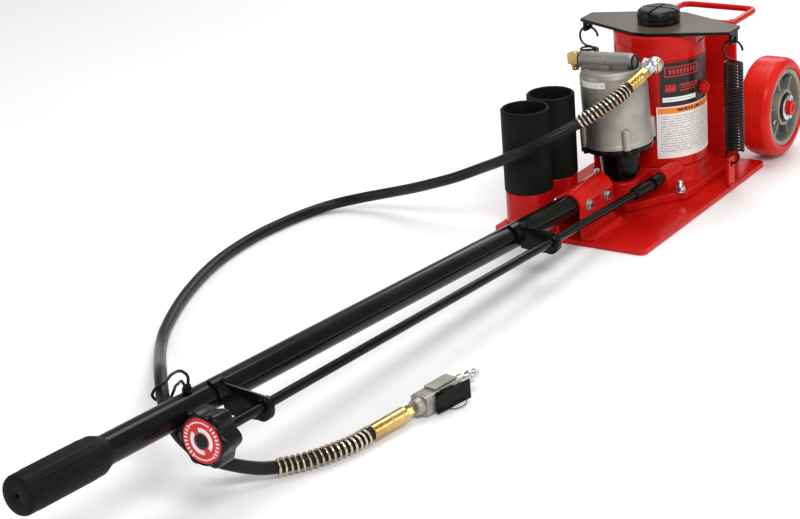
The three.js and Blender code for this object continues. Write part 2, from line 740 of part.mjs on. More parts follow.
const hoseRoute = [
  [41.1, -179.3, 204.4], [34.4, -205, 195.5], [18, -231, 182], [-3, -253, 168],
  [-18, -273, 160], [-40, -291, 149], [-67, -301, 135], [-102, -300, 117],
  [-141.8, -291.4, 98], [-184.4, -293.2, 79.5], [-222, -292.2, 65.5], [-263.3, -287.2, 50.5],
  [-309.9, -280.5, 35], [-359.2, -285.1, 21.5], [-396.4, -299.6, 12.5], [-416, -323.2, 8.6],
  [-426, -355, 8], [-433, -396, 8], [-437, -440, 8], [-436, -489, 8], [-429, -545, 8],
  [-412, -611, 8], [-381, -693, 8], [-337.3, -777.9, 8.9], [-301.6, -827.5, 14.4],
  [-206.3, -935.9, 57.1], [-103.9, -1048.1, 109], [-77.8, -1077.3, 109.3],
  [-60.3, -1095.7, 99.8], [-45.9, -1105.9, 87.1], [-30.3, -1109.4, 71.5], [-14.1, -1105.3, 56],
  [1.7, -1093.1, 41.6], [15.7, -1075.4, 29.5], [28.9, -1054.3, 19], [37.2, -1040, 14.6],
  [49, -1020, 12], [62, -1001, 12], [74, -976, 12], [83, -948.6, 11.8], [88, -919, 12.3],
];

// the part of the route from one share of its length to another
function stretch(from, to, count) {
  const line = smoothLine(hoseRoute);
  const points = [];
  for (let i = 0; i <= count; i += 1) {
    const share = from + ((to - from) * i) / count;
    points.push(line.getPointAt(share).toArray());
  }
  return points;
}

// a piece made along +Y, moved so that it starts at a point and heads for another
function aimed(geometry, start, target) {
  const heading = new THREE.Vector3().subVectors(target, start).normalize();
  const turn = new THREE.Quaternion().setFromUnitVectors(new THREE.Vector3(0, 1, 0), heading);
  return geometry.applyQuaternion(turn).translate(start.x, start.y, start.z);
}

function addHose() {
  const first = new THREE.Vector3(...hoseRoute[0]);
  const last = new THREE.Vector3(...hoseRoute[hoseRoute.length - 1]);
  addPart('air_hose', bentBar(hoseRoute, hoseRadius, 8, 80), rubber);
  addPart('spring_guard_upper', bentBar(stretch(0.002, 0.051, 6), guardRadius, 10, 7, guardBore), brass);
  addPart('spring_guard_lower', bentBar(stretch(0.932, 0.998, 6), guardRadius, 10, 7, guardBore), brass);

  const neck = swivelCentre.distanceTo(first);
  const swivel = joined(
    new THREE.SphereGeometry(12, 12, 8),
    drum('y', 7, 8, 19, 14),
  );
  const swivelHere = aimed(swivel, swivelCentre, first);
  const nut = drum('x', 9, -18, 0, 6).translate(swivelCentre.x, swivelCentre.y, swivelCentre.z);
  addPart('hose_swivel', joined(swivelHere, nut), bareSteel);
  const upper = joined(
    drum('y', ferruleRadius - 1.6, 19 + gap, 30, 6),
    drum('y', ferruleRadius, 29, neck - gap * 2, 18),
  );
  addPart('hose_ferrule_upper', aimed(upper, swivelCentre, first), brass);

  const bodyStart = new THREE.Vector3(...valveBodyStart);
  const reach = last.distanceTo(bodyStart);
  const lower = joined(
    drum('y', ferruleRadius, gap * 2, reach - 15, 18),
    drum('y', ferruleRadius - 2.6, reach - 16, reach - 6, 12),
  );
  addPart('hose_ferrule_lower', aimed(lower, last, bodyStart), brass);
}

function addThrottleValve() {
  const start = new THREE.Vector3(...valveBodyStart);
  const end = new THREE.Vector3(...valveBodyEnd);
  const half = valveBodyHalf;
  const body = joined(
    drum('y', half - 2, 0, 16, 16),
    drum('y', half, 14, valveBodyLength - 8, 8),
    drum('y', half - 4, valveBodyLength - 9, valveBodyLength, 12),
  );
  addPart('throttle_valve_body', aimed(body, start, end), castAluminium);
  const nipple = lathe('y', [
    [0, 0], [9, 0], [9, 10], [5.5, 12], [5.5, 19], [7.5, 21], [7.5, 25], [5.2, 27], [5.2, 32],
    [6.2, 33], [4.6, nippleLength], [0, nippleLength],
  ], 18).translate(0, valveBodyLength + gap, 0);
  addPart('coupler_nipple', aimed(nipple, start, end), bareSteel);

  // the lever is a strip that stands away from the body at its free end
  const lever = block(0, leverThick, 0, leverLength, -leverHalf, leverHalf);
  lever.rotateZ(-THREE.MathUtils.degToRad(leverSplay)).translate(half + 1, leverStart, 0);
  addPart('throttle_lever', aimed(lever, start, end), black);
}

addBasePlate();
addBaseCasting();
addFlangeBolts();
addTank();
addCapNut();
addRam();
addReturnPlate();
addReturnSprings();
addRearFrame();
addWheels();
addExtensions();
addSocketAndHandle();
addRodBracket('rod_bracket_rear', rearBracketAt);
addRodBracket('rod_bracket_front', frontBracketAt);
addReleaseRod();
addKnob();
addAirMotor();
addHose();
addThrottleValve();

export default jack;
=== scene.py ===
import bpy
import bmesh
from math import cos, pi, radians, sin, tan
from mathutils import Matrix, Vector


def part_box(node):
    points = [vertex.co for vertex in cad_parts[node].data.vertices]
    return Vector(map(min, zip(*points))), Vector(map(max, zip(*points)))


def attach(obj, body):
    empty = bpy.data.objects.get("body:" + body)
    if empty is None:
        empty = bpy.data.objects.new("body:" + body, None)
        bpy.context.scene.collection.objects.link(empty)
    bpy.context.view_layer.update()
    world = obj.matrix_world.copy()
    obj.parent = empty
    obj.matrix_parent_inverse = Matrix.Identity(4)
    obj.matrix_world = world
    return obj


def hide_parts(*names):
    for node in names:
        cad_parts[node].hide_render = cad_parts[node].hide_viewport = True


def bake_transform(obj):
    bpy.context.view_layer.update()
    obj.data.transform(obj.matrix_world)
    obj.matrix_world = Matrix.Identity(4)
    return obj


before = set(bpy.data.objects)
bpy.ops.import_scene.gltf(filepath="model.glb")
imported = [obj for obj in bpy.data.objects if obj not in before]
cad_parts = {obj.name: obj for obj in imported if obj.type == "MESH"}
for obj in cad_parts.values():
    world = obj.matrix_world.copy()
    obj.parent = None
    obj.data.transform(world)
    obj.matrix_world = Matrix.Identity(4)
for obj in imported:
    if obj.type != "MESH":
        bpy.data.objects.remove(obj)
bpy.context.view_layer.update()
scene = bpy.context.scene
scene.view_settings.view_transform = "Standard"
fullTurn = 2 * pi
axes = {"X": Vector((1, 0, 0)), "Y": Vector((0, 1, 0)), "Z": Vector((0, 0, 1))}

view = {"place": (1.3378, -2.5973, 1.0522), "azimuth": 35.3, "pitch": 21.6, "roll": 4.7, "lens": 91.1}


def addCamera():
    azimuth, pitch, roll = (radians(view[key]) for key in ("azimuth", "pitch", "roll"))
    forward = Vector((-sin(azimuth) * cos(pitch), cos(azimuth) * cos(pitch), -sin(pitch)))
    right = Vector((cos(azimuth), sin(azimuth), 0))
    down = forward.cross(right)
    across = right * cos(roll) + down * sin(roll)
    downwards = down * cos(roll) - right * sin(roll)
    data = bpy.data.cameras.new("camera")
    data.lens = view["lens"]
    data.clip_end = 40
    camera = bpy.data.objects.new("camera", data)
    turn = Matrix((across, -downwards, -forward)).transposed().to_4x4()
    camera.matrix_world = Matrix.Translation(view["place"]) @ turn
    scene.collection.objects.link(camera)
    scene.camera = camera


lights = [  # name, place, aims at, width, height, watts
    ("key", (1.9, -2.2, 2.6), (0, -0.3, 0.1), 1.3, 0.9, 62),
    ("fill", (-2.6, -2.4, 1.5), (0, -0.5, 0.1), 1.0, 1.8, 20),
    ("top", (-0.3, 0.5, 2.8), (0, -0.4, 0), 1.2, 2.6, 46),
    ("side", (2.8, 0.3, 1.3), (0, 0, 0.15), 0.7, 1.6, 16),
    ("rim", (-0.6, 2.9, 1.7), (0, 0, 0.15), 2.2, 0.8, 22),
]


def addLights():
    for name, place, target, width, height, watts in lights:
        data = bpy.data.lights.new(name, "AREA")
        data.shape = "RECTANGLE"
        data.size, data.size_y = width, height
        data.energy = watts
        light = bpy.data.objects.new(name, data)
        aim = (Vector(target) - Vector(place)).to_track_quat("-Z", "Y")
        light.matrix_world = Matrix.Translation(place) @ aim.to_matrix().to_4x4()
        scene.collection.objects.link(light)
    world = bpy.data.worlds.new("studio")
    world.use_nodes = True
    background = world.node_tree.nodes["Background"].inputs
    background["Color"].default_value = (1, 1, 1, 1)
    background["Strength"].default_value = 0.42
    scene.world = world


class Wire:  # a node's output that adds Math nodes when it is used in an expression
    def __init__(self, look, socket):
        self.look = look
        self.socket = socket

    def maths(self, operation, a, b=None):
        values = {0: a} if b is None else {0: a, 1: b}
        return self.look.add("ShaderNodeMath", {"operation": operation}, values)

    def sine(self):
        return self.maths("SINE", self)

    def part(self):  # what follows the point
        return self.maths("FRACT", self)

    def root(self):
        return self.maths("SQRT", self)

    def over(self, other):  # the angle of a place, from its rise and its run
        return self.maths("ARCTAN2", self, other)

    def __add__(self, other):
        return self.maths("ADD", self, other)

    def __radd__(self, other):
        return self.maths("ADD", other, self)

    def __sub__(self, other):
        return self.maths("SUBTRACT", self, other)

    def __rsub__(self, other):
        return self.maths("SUBTRACT", other, self)

    def __mul__(self, other):
        return self.maths("MULTIPLY", self, other)

    def __rmul__(self, other):
        return self.maths("MULTIPLY", other, self)

    def __truediv__(self, other):
        return self.maths("DIVIDE", self, other)

    def __gt__(self, other):
        return self.maths("GREATER_THAN", self, other)


class Look:  # one material
    def __init__(self, name, **fixed):
        self.material = bpy.data.materials.new(name)
        self.material.use_nodes = True
        self.tree = self.material.node_tree
        self.shader = self.tree.nodes["Principled BSDF"]
        for socket, value in fixed.items():
            self.shader.inputs[socket.replace("_", " ")].default_value = value

    def link(self, value, socket):
        if isinstance(value, Wire):
            self.tree.links.new(value.socket, socket)
        else:
            socket.default_value = value

    def add(self, kind, settings, values, output=0):
        node = self.tree.nodes.new(kind)
        for name, value in settings.items():
            setattr(node, name, value)
        for socket, value in values.items():
            self.link(value, node.inputs[socket])
        return Wire(self, node.outputs[output])

    def place(self, stretch=(1, 1, 1)):
        spot = self.add("ShaderNodeTexCoord", {}, {}, "Object")
        return self.add("ShaderNodeMapping", {}, {"Vector": spot, "Scale": stretch})

    def noise(self, scale, detail=4, stretch=(1, 1, 1), rough=0.55):
        values = {"Vector": self.place(stretch), "Scale": scale, "Detail": detail, "Roughness": rough}
        return self.add("ShaderNodeTexNoise", {}, values)

    def mix(self, factor, first, second):
        settings = {"data_type": "RGBA"}
        return self.add("ShaderNodeMix", settings, {0: factor, 6: first, 7: second}, 2)

    def spots(self):  # the x, y and z of a place on the piece
        parts = self.tree.nodes.new("ShaderNodeSeparateXYZ")
        self.link(self.add("ShaderNodeTexCoord", {}, {}, "Object"), parts.inputs[0])
        return [Wire(self, parts.outputs[i]) for i in range(3)]

    def step(self, value, low, high):  # rises from 0 to 1 between two values
        values = {"Value": value, "From Min": low, "From Max": high}
        return self.add("ShaderNodeMapRange", {"interpolation_type": "SMOOTHSTEP"}, values)

    def bump(self, height, strength, distance):
        values = {"Height": height, "Strength": strength, "Distance": distance}
        self.feed("Normal", self.add("ShaderNodeBump", {}, values))

    def feed(self, socket, value):
        self.link(value, self.shader.inputs[socket])

    def done(self, colour, rough):
        self.feed("Base Color", colour)
        self.feed("Roughness", rough)
        return self.material


def grey(value, alpha=1):
    return value, value, value, alpha


def paintLook(name, dark, light, rough, coat, peel=0.12, dust=0.06, gloss=0.25):  # sprayed paint
    look = Look(name, Coat_Weight=coat, Coat_Roughness=0.06, Specular_IOR_Level=gloss)
    broad = look.noise(9, 5)
    fine = look.noise(420, 2)
    specks = look.step(look.noise(160, 3), 0.66, 0.78)
    body = look.mix(look.step(broad, 0.35, 0.68), dark, light)
    look.bump(fine * 0.6 + look.noise(60, 2) * 1.4, peel, 0.0004)
    return look.done(look.mix(specks * dust * 4, body, grey(0.45)), rough + broad * 0.08 + specks * 0.25)


def metalLook(name, dark, light, rough, grain=(1, 1, 1), metal=1.0, bump=0.1, scale=140, gloss=0.3):
    look = Look(name, Metallic=metal, Specular_IOR_Level=gloss)
    broad = look.noise(24, 6)
    scratches = look.noise(scale, 6, grain)
    look.bump(scratches, bump, 0.0004)
    return look.done(look.mix(look.step(broad, 0.3, 0.72), dark, light),
        rough + scratches * 0.16 + broad * 0.1)


def rubberLook(name, tone, rough, scale=260, bump=0.25, gloss=0.22):
    look = Look(name, Specular_IOR_Level=gloss)
    broad = look.noise(16, 5)
    grain = look.noise(scale, 5)
    look.bump(grain, bump, 0.0003)
    return look.done(look.mix(look.step(broad, 0.3, 0.75), grey(tone * 0.7), grey(tone * 1.7)),
        rough + broad * 0.14 + grain * 0.08)


def castLook():  # blasted aluminium casting, darker above a set height
    look = Look("cast_aluminium", Metallic=0.85)
    pits = look.noise(620, 4)
    broad = look.noise(14, 6)
    height = look.spots()[2]
    shade = look.step(broad, 0.28, 0.72)
    body = look.mix(shade, (0.26, 0.252, 0.225, 1), (0.48, 0.465, 0.425, 1))
    look.bump(pits + look.noise(120, 3) * 0.7, 0.35, 0.0006)
    return look.done(look.mix(look.step(height, 0.202, 0.214) * 0.55, body, (0.17, 0.16, 0.15, 1)),
        0.36 + pits * 0.18 + broad * 0.1)


def tyreLook():  # cast polyurethane
    look = Look("tyre_polyurethane", Coat_Weight=0.04, Coat_Roughness=0.12, Specular_IOR_Level=0.14)
    broad = look.noise(20, 5)
    scuffs = look.step(look.noise(70, 6, (5, 1, 1)), 0.6, 0.8)
    body = look.mix(look.step(broad, 0.3, 0.7), (0.54, 0.006, 0.002, 1), (0.66, 0.013, 0.004, 1))
    look.bump(look.noise(200, 3) + scuffs * 0.8, 0.12, 0.0004)
    return look.done(look.mix(scuffs * 0.1, body, (0.85, 0.16, 0.08, 1)),
        0.27 + scuffs * 0.2 + broad * 0.08)


def hubLook():  # a grey casting with a paler machined rim
    look = Look("hub_paint", Metallic=0.25, Specular_IOR_Level=0.3)
    y, z = look.spots()[1:]
    up, back = z - 0.08, y - 0.168
    reach = (up * up + back * back).root()
    broad = look.noise(30, 5)
    grime = look.step(look.noise(55, 6), 0.55, 0.75)
    rim = look.step(reach, 0.0505, 0.0525) + 1 - look.step(reach, 0.0285, 0.0295)
    web = look.mix(look.step(broad, 0.3, 0.7), (0.13, 0.135, 0.125, 1), (0.24, 0.245, 0.225, 1))
    edge = look.mix(look.step(broad, 0.3, 0.7), (0.2, 0.182, 0.135, 1), (0.3, 0.275, 0.21, 1))
    look.bump(look.noise(300, 4), 0.25, 0.0004)
    return look.done(look.mix(grime * 0.35, look.mix(rim, web, edge), (0.12, 0.105, 0.08, 1)),
        0.36 + grime * 0.2)


redPaint = paintLook("red_enamel", (0.44, 0.004, 0.003, 1), (0.59, 0.01, 0.006, 1), 0.17, 0.05, dust=0.005,
    gloss=0.13)
redCasting = paintLook("red_casting", (0.42, 0.004, 0.003, 1), (0.56, 0.01, 0.006, 1), 0.22, 0.04, 0.35,
    0.005, 0.12)
blackPaint = paintLook("black_enamel", (0.002, 0.0022, 0.002, 1), (0.005, 0.0055, 0.005, 1), 0.15, 0.07,
    0.1, 0.003, 0.1)
satinBlack = metalLook("satin_black", (0.004, 0.0056, 0.004, 1), (0.009, 0.0115, 0.009, 1), 0.44,
    (6, 6, 0.4), 0, 0.18, 90, 0.08)
springBlack = metalLook("spring_black", (0.002, 0.002, 0.002, 1), (0.007, 0.007, 0.007, 1), 0.22, metal=0.2)
zincSteel = metalLook("zinc_steel", (0.42, 0.43, 0.45, 1), (0.72, 0.73, 0.74, 1), 0.16, (1, 1, 6))
brassMetal = metalLook("brass", (0.46, 0.29, 0.08, 1), (0.8, 0.58, 0.25, 1), 0.14, (6, 1, 1), bump=0.06)
coilMetal = metalLook("coil_wire", (0.56, 0.47, 0.32, 1), (0.88, 0.8, 0.64, 1), 0.14, bump=0.05)
castMetal = castLook()
tyreRed = tyreLook()
hubGrey = hubLook()
hoseRubber = rubberLook("hose_rubber", 0.006, 0.28, 180, 0.12, 0.2)
gripRubber = rubberLook("grip_rubber", 0.004, 0.42, 320, 0.3, 0.1)
knobPlastic = rubberLook("knob_plastic", 0.003, 0.14, 500, 0.06, 0.2)
plateTop = paintLook("plate_top", (0.055, 0.044, 0.033, 1), (0.095, 0.078, 0.058, 1), 0.3, 0.01, 0.2, 0.01,
    0.1)
print("materials ready")


def closedUp(shape):
    bmesh.ops.remove_doubles(shape, verts=shape.verts, dist=1e-07)
    bmesh.ops.recalc_face_normals(shape, faces=shape.faces)
    return shape


def turned(profile, axis="Z", steps=64, angle=fullTurn):  # a profile of (radius, place along the axis)
    lay = {"X": lambda r, a: (a, 0, r), "Y": lambda r, a: (r, a, 0), "Z": lambda r, a: (r, 0, a)}[axis]
    shape = bmesh.new()
    ring = profile[0] == profile[-1]
    verts = [shape.verts.new(lay(*spot)) for spot in (profile[:-1] if ring else profile)]
    edges = [shape.edges.new(pair) for pair in zip(verts, verts[1:])]
    if ring:
        edges.append(shape.edges.new((verts[-1], verts[0])))
    bmesh.ops.spin(shape, geom=verts + edges, cent=(0, 0, 0), axis=axes[axis], dvec=(0, 0, 0), angle=angle,
        steps=steps, use_merge=True, use_duplicate=False)
    return closedUp(shape)


def rod(radius, low, high, axis="Z", steps=32, chamfer=0.0005, endRadius=None):
    end = radius if endRadius is None else endRadius
    return turned([(0, low), (radius - chamfer, low), (radius, low + chamfer), (end, high - chamfer),
        (end - chamfer, high), (0, high)], axis, steps)


def pipe(inner, outer, low, high, axis="Z", steps=64, chamfer=0.001):
    c = chamfer
    return turned([(inner, low + c), (inner + c, low), (outer - c, low), (outer, low + c),
        (outer, high - c), (outer - c, high), (inner + c, high), (inner, high - c), (inner, low + c)], axis,
        steps)


def hexHead(radius, low, high, axis="Z"):
    return rod(radius, low, high, axis, 6, radius * 0.12)


def cube(low, high):
    shape = bmesh.new()
    bmesh.ops.create_cube(shape, size=1)
    low, high = Vector(low), Vector(high)
    bmesh.ops.scale(shape, vec=high - low, verts=shape.verts)
    bmesh.ops.translate(shape, vec=(low + high) / 2, verts=shape.verts)
    return shape


def slab(outline, low, high):  # a flat outline made into a plate
    shape = bmesh.new()
    face = shape.faces.new([shape.verts.new((x, y, low)) for x, y in outline])
    made = bmesh.ops.extrude_face_region(shape, geom=[face])
    moved = [part for part in made["geom"] if isinstance(part, bmesh.types.BMVert)]
    bmesh.ops.translate(shape, vec=(0, 0, high - low), verts=moved)
    return closedUp(shape)


def arc(x, y, radius, start, end, count=8):  # points on an arc, in degrees
    angles = [radians(start + (end - start) * i / count) for i in range(count + 1)]
    return [(x + radius * cos(angle), y + radius * sin(angle)) for angle in angles]


def arcs(*rows):  # several arcs, one after another
    return [spot for row in rows for spot in arc(*row)]


def tilted(spot, degrees, axis="X"):  # a place turned about one axis
    return Matrix.Translation(spot) @ Matrix.Rotation(radians(degrees), 4, axis)


def wire(points, radius, caps=True, rise=3, swell=None, ring=False):  # a round bar along points
    data = bpy.data.curves.new("wire", "CURVE")
    data.dimensions = "3D"
    data.bevel_depth = radius
    data.bevel_resolution = rise
    data.use_fill_caps = caps
    line = data.splines.new("POLY")
    line.points.add(len(points) - 1)
    line.use_cyclic_u = ring
    for i, spot in enumerate(points):
        line.points[i].co = (*spot, 1)
        line.points[i].radius = swell(i) if swell else 1
    holder = bpy.data.objects.new("wire", data)
    scene.collection.objects.link(holder)
    mesh = bpy.data.meshes.new_from_object(holder.evaluated_get(bpy.context.evaluated_depsgraph_get()))
    shape = bmesh.new()
    shape.from_mesh(mesh)
    bpy.data.objects.remove(holder)
    bpy.data.curves.remove(data)
    bpy.data.meshes.remove(mesh)
    return closedUp(shape)


def smoothPath(points, each):  # a centripetal curve through the points
    spots = [Vector(spot) for spot in points]
    spots = [spots[0] * 2 - spots[1], *spots, spots[-1] * 2 - spots[-2]]
    path = [spots[1].copy()]
    for a, b, c, d in zip(spots, spots[1:], spots[2:], spots[3:]):
        before, here, after = ((q - p).length ** 0.5 for p, q in ((a, b), (b, c), (c, d)))
        leave = ((b - a) / before - (c - a) / (before + here) + (c - b) / here) * here
        arrive = ((c - b) / here - (d - b) / (here + after) + (d - c) / after) * here
        for i in range(1, each + 1):
            t = i / each
            path.append(b * (2 * t ** 3 - 3 * t ** 2 + 1) + leave * (t ** 3 - 2 * t ** 2 + t)
                + c * (3 * t ** 2 - 2 * t ** 3) + arrive * (t ** 3 - t ** 2))
    return path


def moved(shape, place):
    bmesh.ops.transform(shape, matrix=place, verts=shape.verts)
    return shape


def spun(shape, share, axis):  # turned by a share of a whole turn
    return moved(shape, Matrix.Rotation(fullTurn * share, 4, axis))


def shifted(shape, x=0, y=0, z=0):
    return moved(shape, Matrix.Translation((x, y, z)))


def cadCopy(node):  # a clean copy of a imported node's mesh
    shape = bmesh.new()
    shape.from_mesh(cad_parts[node].data)
    bmesh.ops.remove_doubles(shape, verts=shape.verts, dist=2e-06)
    bmesh.ops.dissolve_limit(shape, angle_limit=radians(0.6), verts=shape.verts, edges=shape.edges)
    return shape


slots = {  # the slot that each finish belongs to, where a piece names no other
    redPaint: "red_paint", redCasting: "red_paint", blackPaint: "black_paint", satinBlack: "black_steel",
    springBlack: "black_steel", zincSteel: "bare_steel", brassMetal: "brass_fittings", tyreRed: "tyre_red",
    coilMetal: "brass_fittings", castMetal: "cast_metal", hubGrey: "hub_paint", gripRubber: "rubber",
    knobPlastic: "black_paint",
}


def piece(name, shapes, look, nodes=(), edge=0.0006, body="chassis", slot=None, smooth=38, place=None,
        extra=()):
    mesh = bpy.data.meshes.new(name)
    whole = bmesh.new()
    for shape in shapes:
        scratch = bpy.data.meshes.new("scratch")
        shape.to_mesh(scratch)
        whole.from_mesh(scratch)
        bpy.data.meshes.remove(scratch)
        shape.free()
    if place:
        moved(whole, place)
    whole.to_mesh(mesh)
    whole.free()
    for polygon in mesh.polygons:
        polygon.use_smooth = True
    mesh.set_sharp_from_angle(angle=radians(smooth))
    for material in (look, *extra):
        mesh.materials.append(material)
    obj = bpy.data.objects.new(name, mesh)
    scene.collection.objects.link(obj)
    if edge:
        bevel = obj.modifiers.new("edges", "BEVEL")
        bevel.width = edge
        bevel.segments = 2
        bevel.limit_method = "ANGLE"
        bevel.angle_limit = radians(smooth)
        weighted = obj.modifiers.new("normals", "WEIGHTED_NORMAL")
        weighted.keep_sharp = False
    if body:
        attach(obj, body)
    slot = slot or slots.get(look, "red_paint")
    if nodes:
        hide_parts(*nodes)
    return obj


def size(node):  # lowest corner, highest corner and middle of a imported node
    low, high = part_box(node)
    return low, high, (low + high) / 2


def aimed(start, target):  # a frame at start whose Y axis points at target
    turn = Vector((0, 1, 0)).rotation_difference(Vector(target) - Vector(start))
    return Matrix.Translation(start) @ turn.to_matrix().to_4x4()


hose = {"radius": 0.00775, "guardFrom": 0.002, "guardTo": 0.051, "lowerFrom": 0.928, "lowerTo": 0.998,
    "inFerrule": 0.042, "coilWire": 0.0015, "coilRadius": 0.0094, "ferrule": 0.0096,
    "swivel": (0.0555, -0.124, 0.2235), "valveStart": (0.1005, -0.847, 0.0145),
    "valveEnd": (0.118, -0.7316, 0.0165), "route": [(0.0411, -0.1793, 0.2044), (0.0344, -0.205, 0.1955),
    (0.018, -0.231, 0.182), (-0.003, -0.253, 0.168), (-0.018, -0.273, 0.16), (-0.04, -0.291, 0.149),
    (-0.067, -0.301, 0.135), (-0.102, -0.3, 0.117), (-0.1418, -0.2914, 0.098), (-0.1844, -0.2932, 0.0795),
    (-0.222, -0.2922, 0.0655), (-0.2633, -0.2872, 0.0505), (-0.3099, -0.2805, 0.035),
    (-0.3592, -0.2851, 0.0215), (-0.3964, -0.2996, 0.0125), (-0.416, -0.3232, 0.0086),
    (-0.426, -0.355, 0.008), (-0.433, -0.396, 0.008), (-0.437, -0.44, 0.008), (-0.436, -0.489, 0.008),
    (-0.429, -0.545, 0.008), (-0.412, -0.611, 0.008), (-0.381, -0.693, 0.008), (-0.3373, -0.7779, 0.0089),
    (-0.3016, -0.8275, 0.0144), (-0.2063, -0.9359, 0.0571), (-0.1039, -1.0481, 0.109),
    (-0.0778, -1.0773, 0.1093), (-0.0603, -1.0957, 0.0998), (-0.0459, -1.1059, 0.0871),
    (-0.0303, -1.1094, 0.0715), (-0.0141, -1.1053, 0.056), (0.0017, -1.0931, 0.0416),
    (0.0157, -1.0754, 0.0295), (0.0289, -1.0543, 0.019), (0.0372, -1.04, 0.0146), (0.049, -1.02, 0.012),
    (0.062, -1.001, 0.012), (0.074, -0.976, 0.012), (0.083, -0.9486, 0.0118), (0.088, -0.919, 0.0123)]}
hoseLine = smoothPath(hose["route"], 12)
hoseSteps = [0]
for first, second in zip(hoseLine, hoseLine[1:]):
    hoseSteps.append(hoseSteps[-1] + (second - first).length)
hoseLength = hoseSteps[-1]
lowerHeading = (Vector(hose["valveStart"]) - hoseLine[-1]).normalized()


def alongHose(share):  # the place and heading at a share of the hose's length
    goal = share * hoseLength
    i = next((i for i in range(1, len(hoseSteps)) if hoseSteps[i] >= goal or i == len(hoseSteps) - 1))
    part = (goal - hoseSteps[i - 1]) / (hoseSteps[i] - hoseSteps[i - 1])
    return hoseLine[i - 1].lerp(hoseLine[i], part), (hoseLine[i] - hoseLine[i - 1]).normalized()


def coilGuard(name, start, end, coils, node):
    points = []
    perTurn = 20
    side = Vector((0, 0, 1))
    count = coils * perTurn
    for i in range(count + 1):
        spot, heading = alongHose(start + (end - start) * i / count)
        side = (side - heading * side.dot(heading)).normalized()
        angle = fullTurn * i / perTurn
        around = side * cos(angle) + heading.cross(side) * sin(angle)
        points.append(spot + around * hose["coilRadius"])
    return piece(name, [wire(points, hose["coilWire"], rise=2)], coilMetal, [node], 0)


def addHose():
    data = bpy.data.curves.new("rubber_hose", "CURVE")
    data.dimensions = "3D"
    data.bevel_depth = hose["radius"]
    data.bevel_resolution = 5
    data.use_fill_caps = True
    line = data.splines.new("POLY")
    inFerrule = [hoseLine[-1] + lowerHeading * hose["inFerrule"] * i / 6 for i in range(1, 7)]
    line.points.add(len(hoseLine) + 5)
    for point, spot in zip(line.points, hoseLine + inFerrule):
        point.co = (*spot, 1)
    line.use_smooth = True
    data.materials.append(hoseRubber)
    tube = bpy.data.objects.new("rubber_hose", data)
    scene.collection.objects.link(tube)
    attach(tube, "chassis")
    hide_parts("air_hose")

    upper = coilGuard("coil_guard_upper", hose["guardFrom"], hose["guardTo"], 14, "spring_guard_upper")
    lower = coilGuard("coil_guard_lower", hose["lowerFrom"], hose["lowerTo"], 17, "spring_guard_lower")
    body, lever, nipple = addThrottleValve()
    ferrules = addFerrules()


def addFerrules():
    start = Vector(hose["swivel"])
    top = Vector(hose["route"][0])
    neck = (top - start).length
    r = hose["ferrule"]
    crimped = [(0.0045, 0.0302), (r - 0.0012, 0.0302), (r - 0.0004, 0.0312), (r, 0.033)]
    span = neck - 0.0006 - 0.0345
    for i in range(4):  # crimp rings along the sleeve
        a = 0.0345 + span * i / 4
        crimped += [(r, a), (r, a + span * 0.2), (r - 0.0006, a + span * 0.215),
            (r - 0.0006, a + span * 0.235)]
    crimped += [(r, neck - 0.0022), (r - 0.0012, neck - 0.0006), (0.0045, neck - 0.0006), (0.0045, 0.0302)]
    nut = hexHead(0.0086, 0.0194, 0.0302, "Y")
    upper = piece("ferrule_upper", [turned(crimped, "Y", 40), nut], brassMetal, ["hose_ferrule_upper"],
        0.0003, place=aimed(start, top))
    last = Vector(hose["route"][-1])
    valve = Vector(hose["valveStart"])
    reach = (valve - last).length
    sleeve = [(0.0079, 0.0006), (r - 0.001, 0.0006), (r, 0.0016), (r, reach * 0.42),
        (r - 0.0007, reach * 0.425), (r - 0.0007, reach * 0.44), (r, reach * 0.445), (r, reach * 0.66),
        (r - 0.0007, reach * 0.665), (r - 0.0007, reach * 0.68), (r, reach * 0.685), (r, reach - 0.0172),
        (r - 0.0014, reach - 0.0155), (0.0079, reach - 0.0155), (0.0079, 0.0006)]
    knurl = hexHead(0.0078, reach - 0.0165, reach - 0.0055, "Y")
    lower = piece("ferrule_lower", [turned(sleeve, "Y", 40), knurl], brassMetal, ["hose_ferrule_lower"],
        0.0003, place=aimed(last, valve))
    return upper, lower


valveSettings = {"length": 0.078, "half": 0.013, "leverStart": 0.024, "leverLength": 0.054,
    "leverHalf": 0.0125}


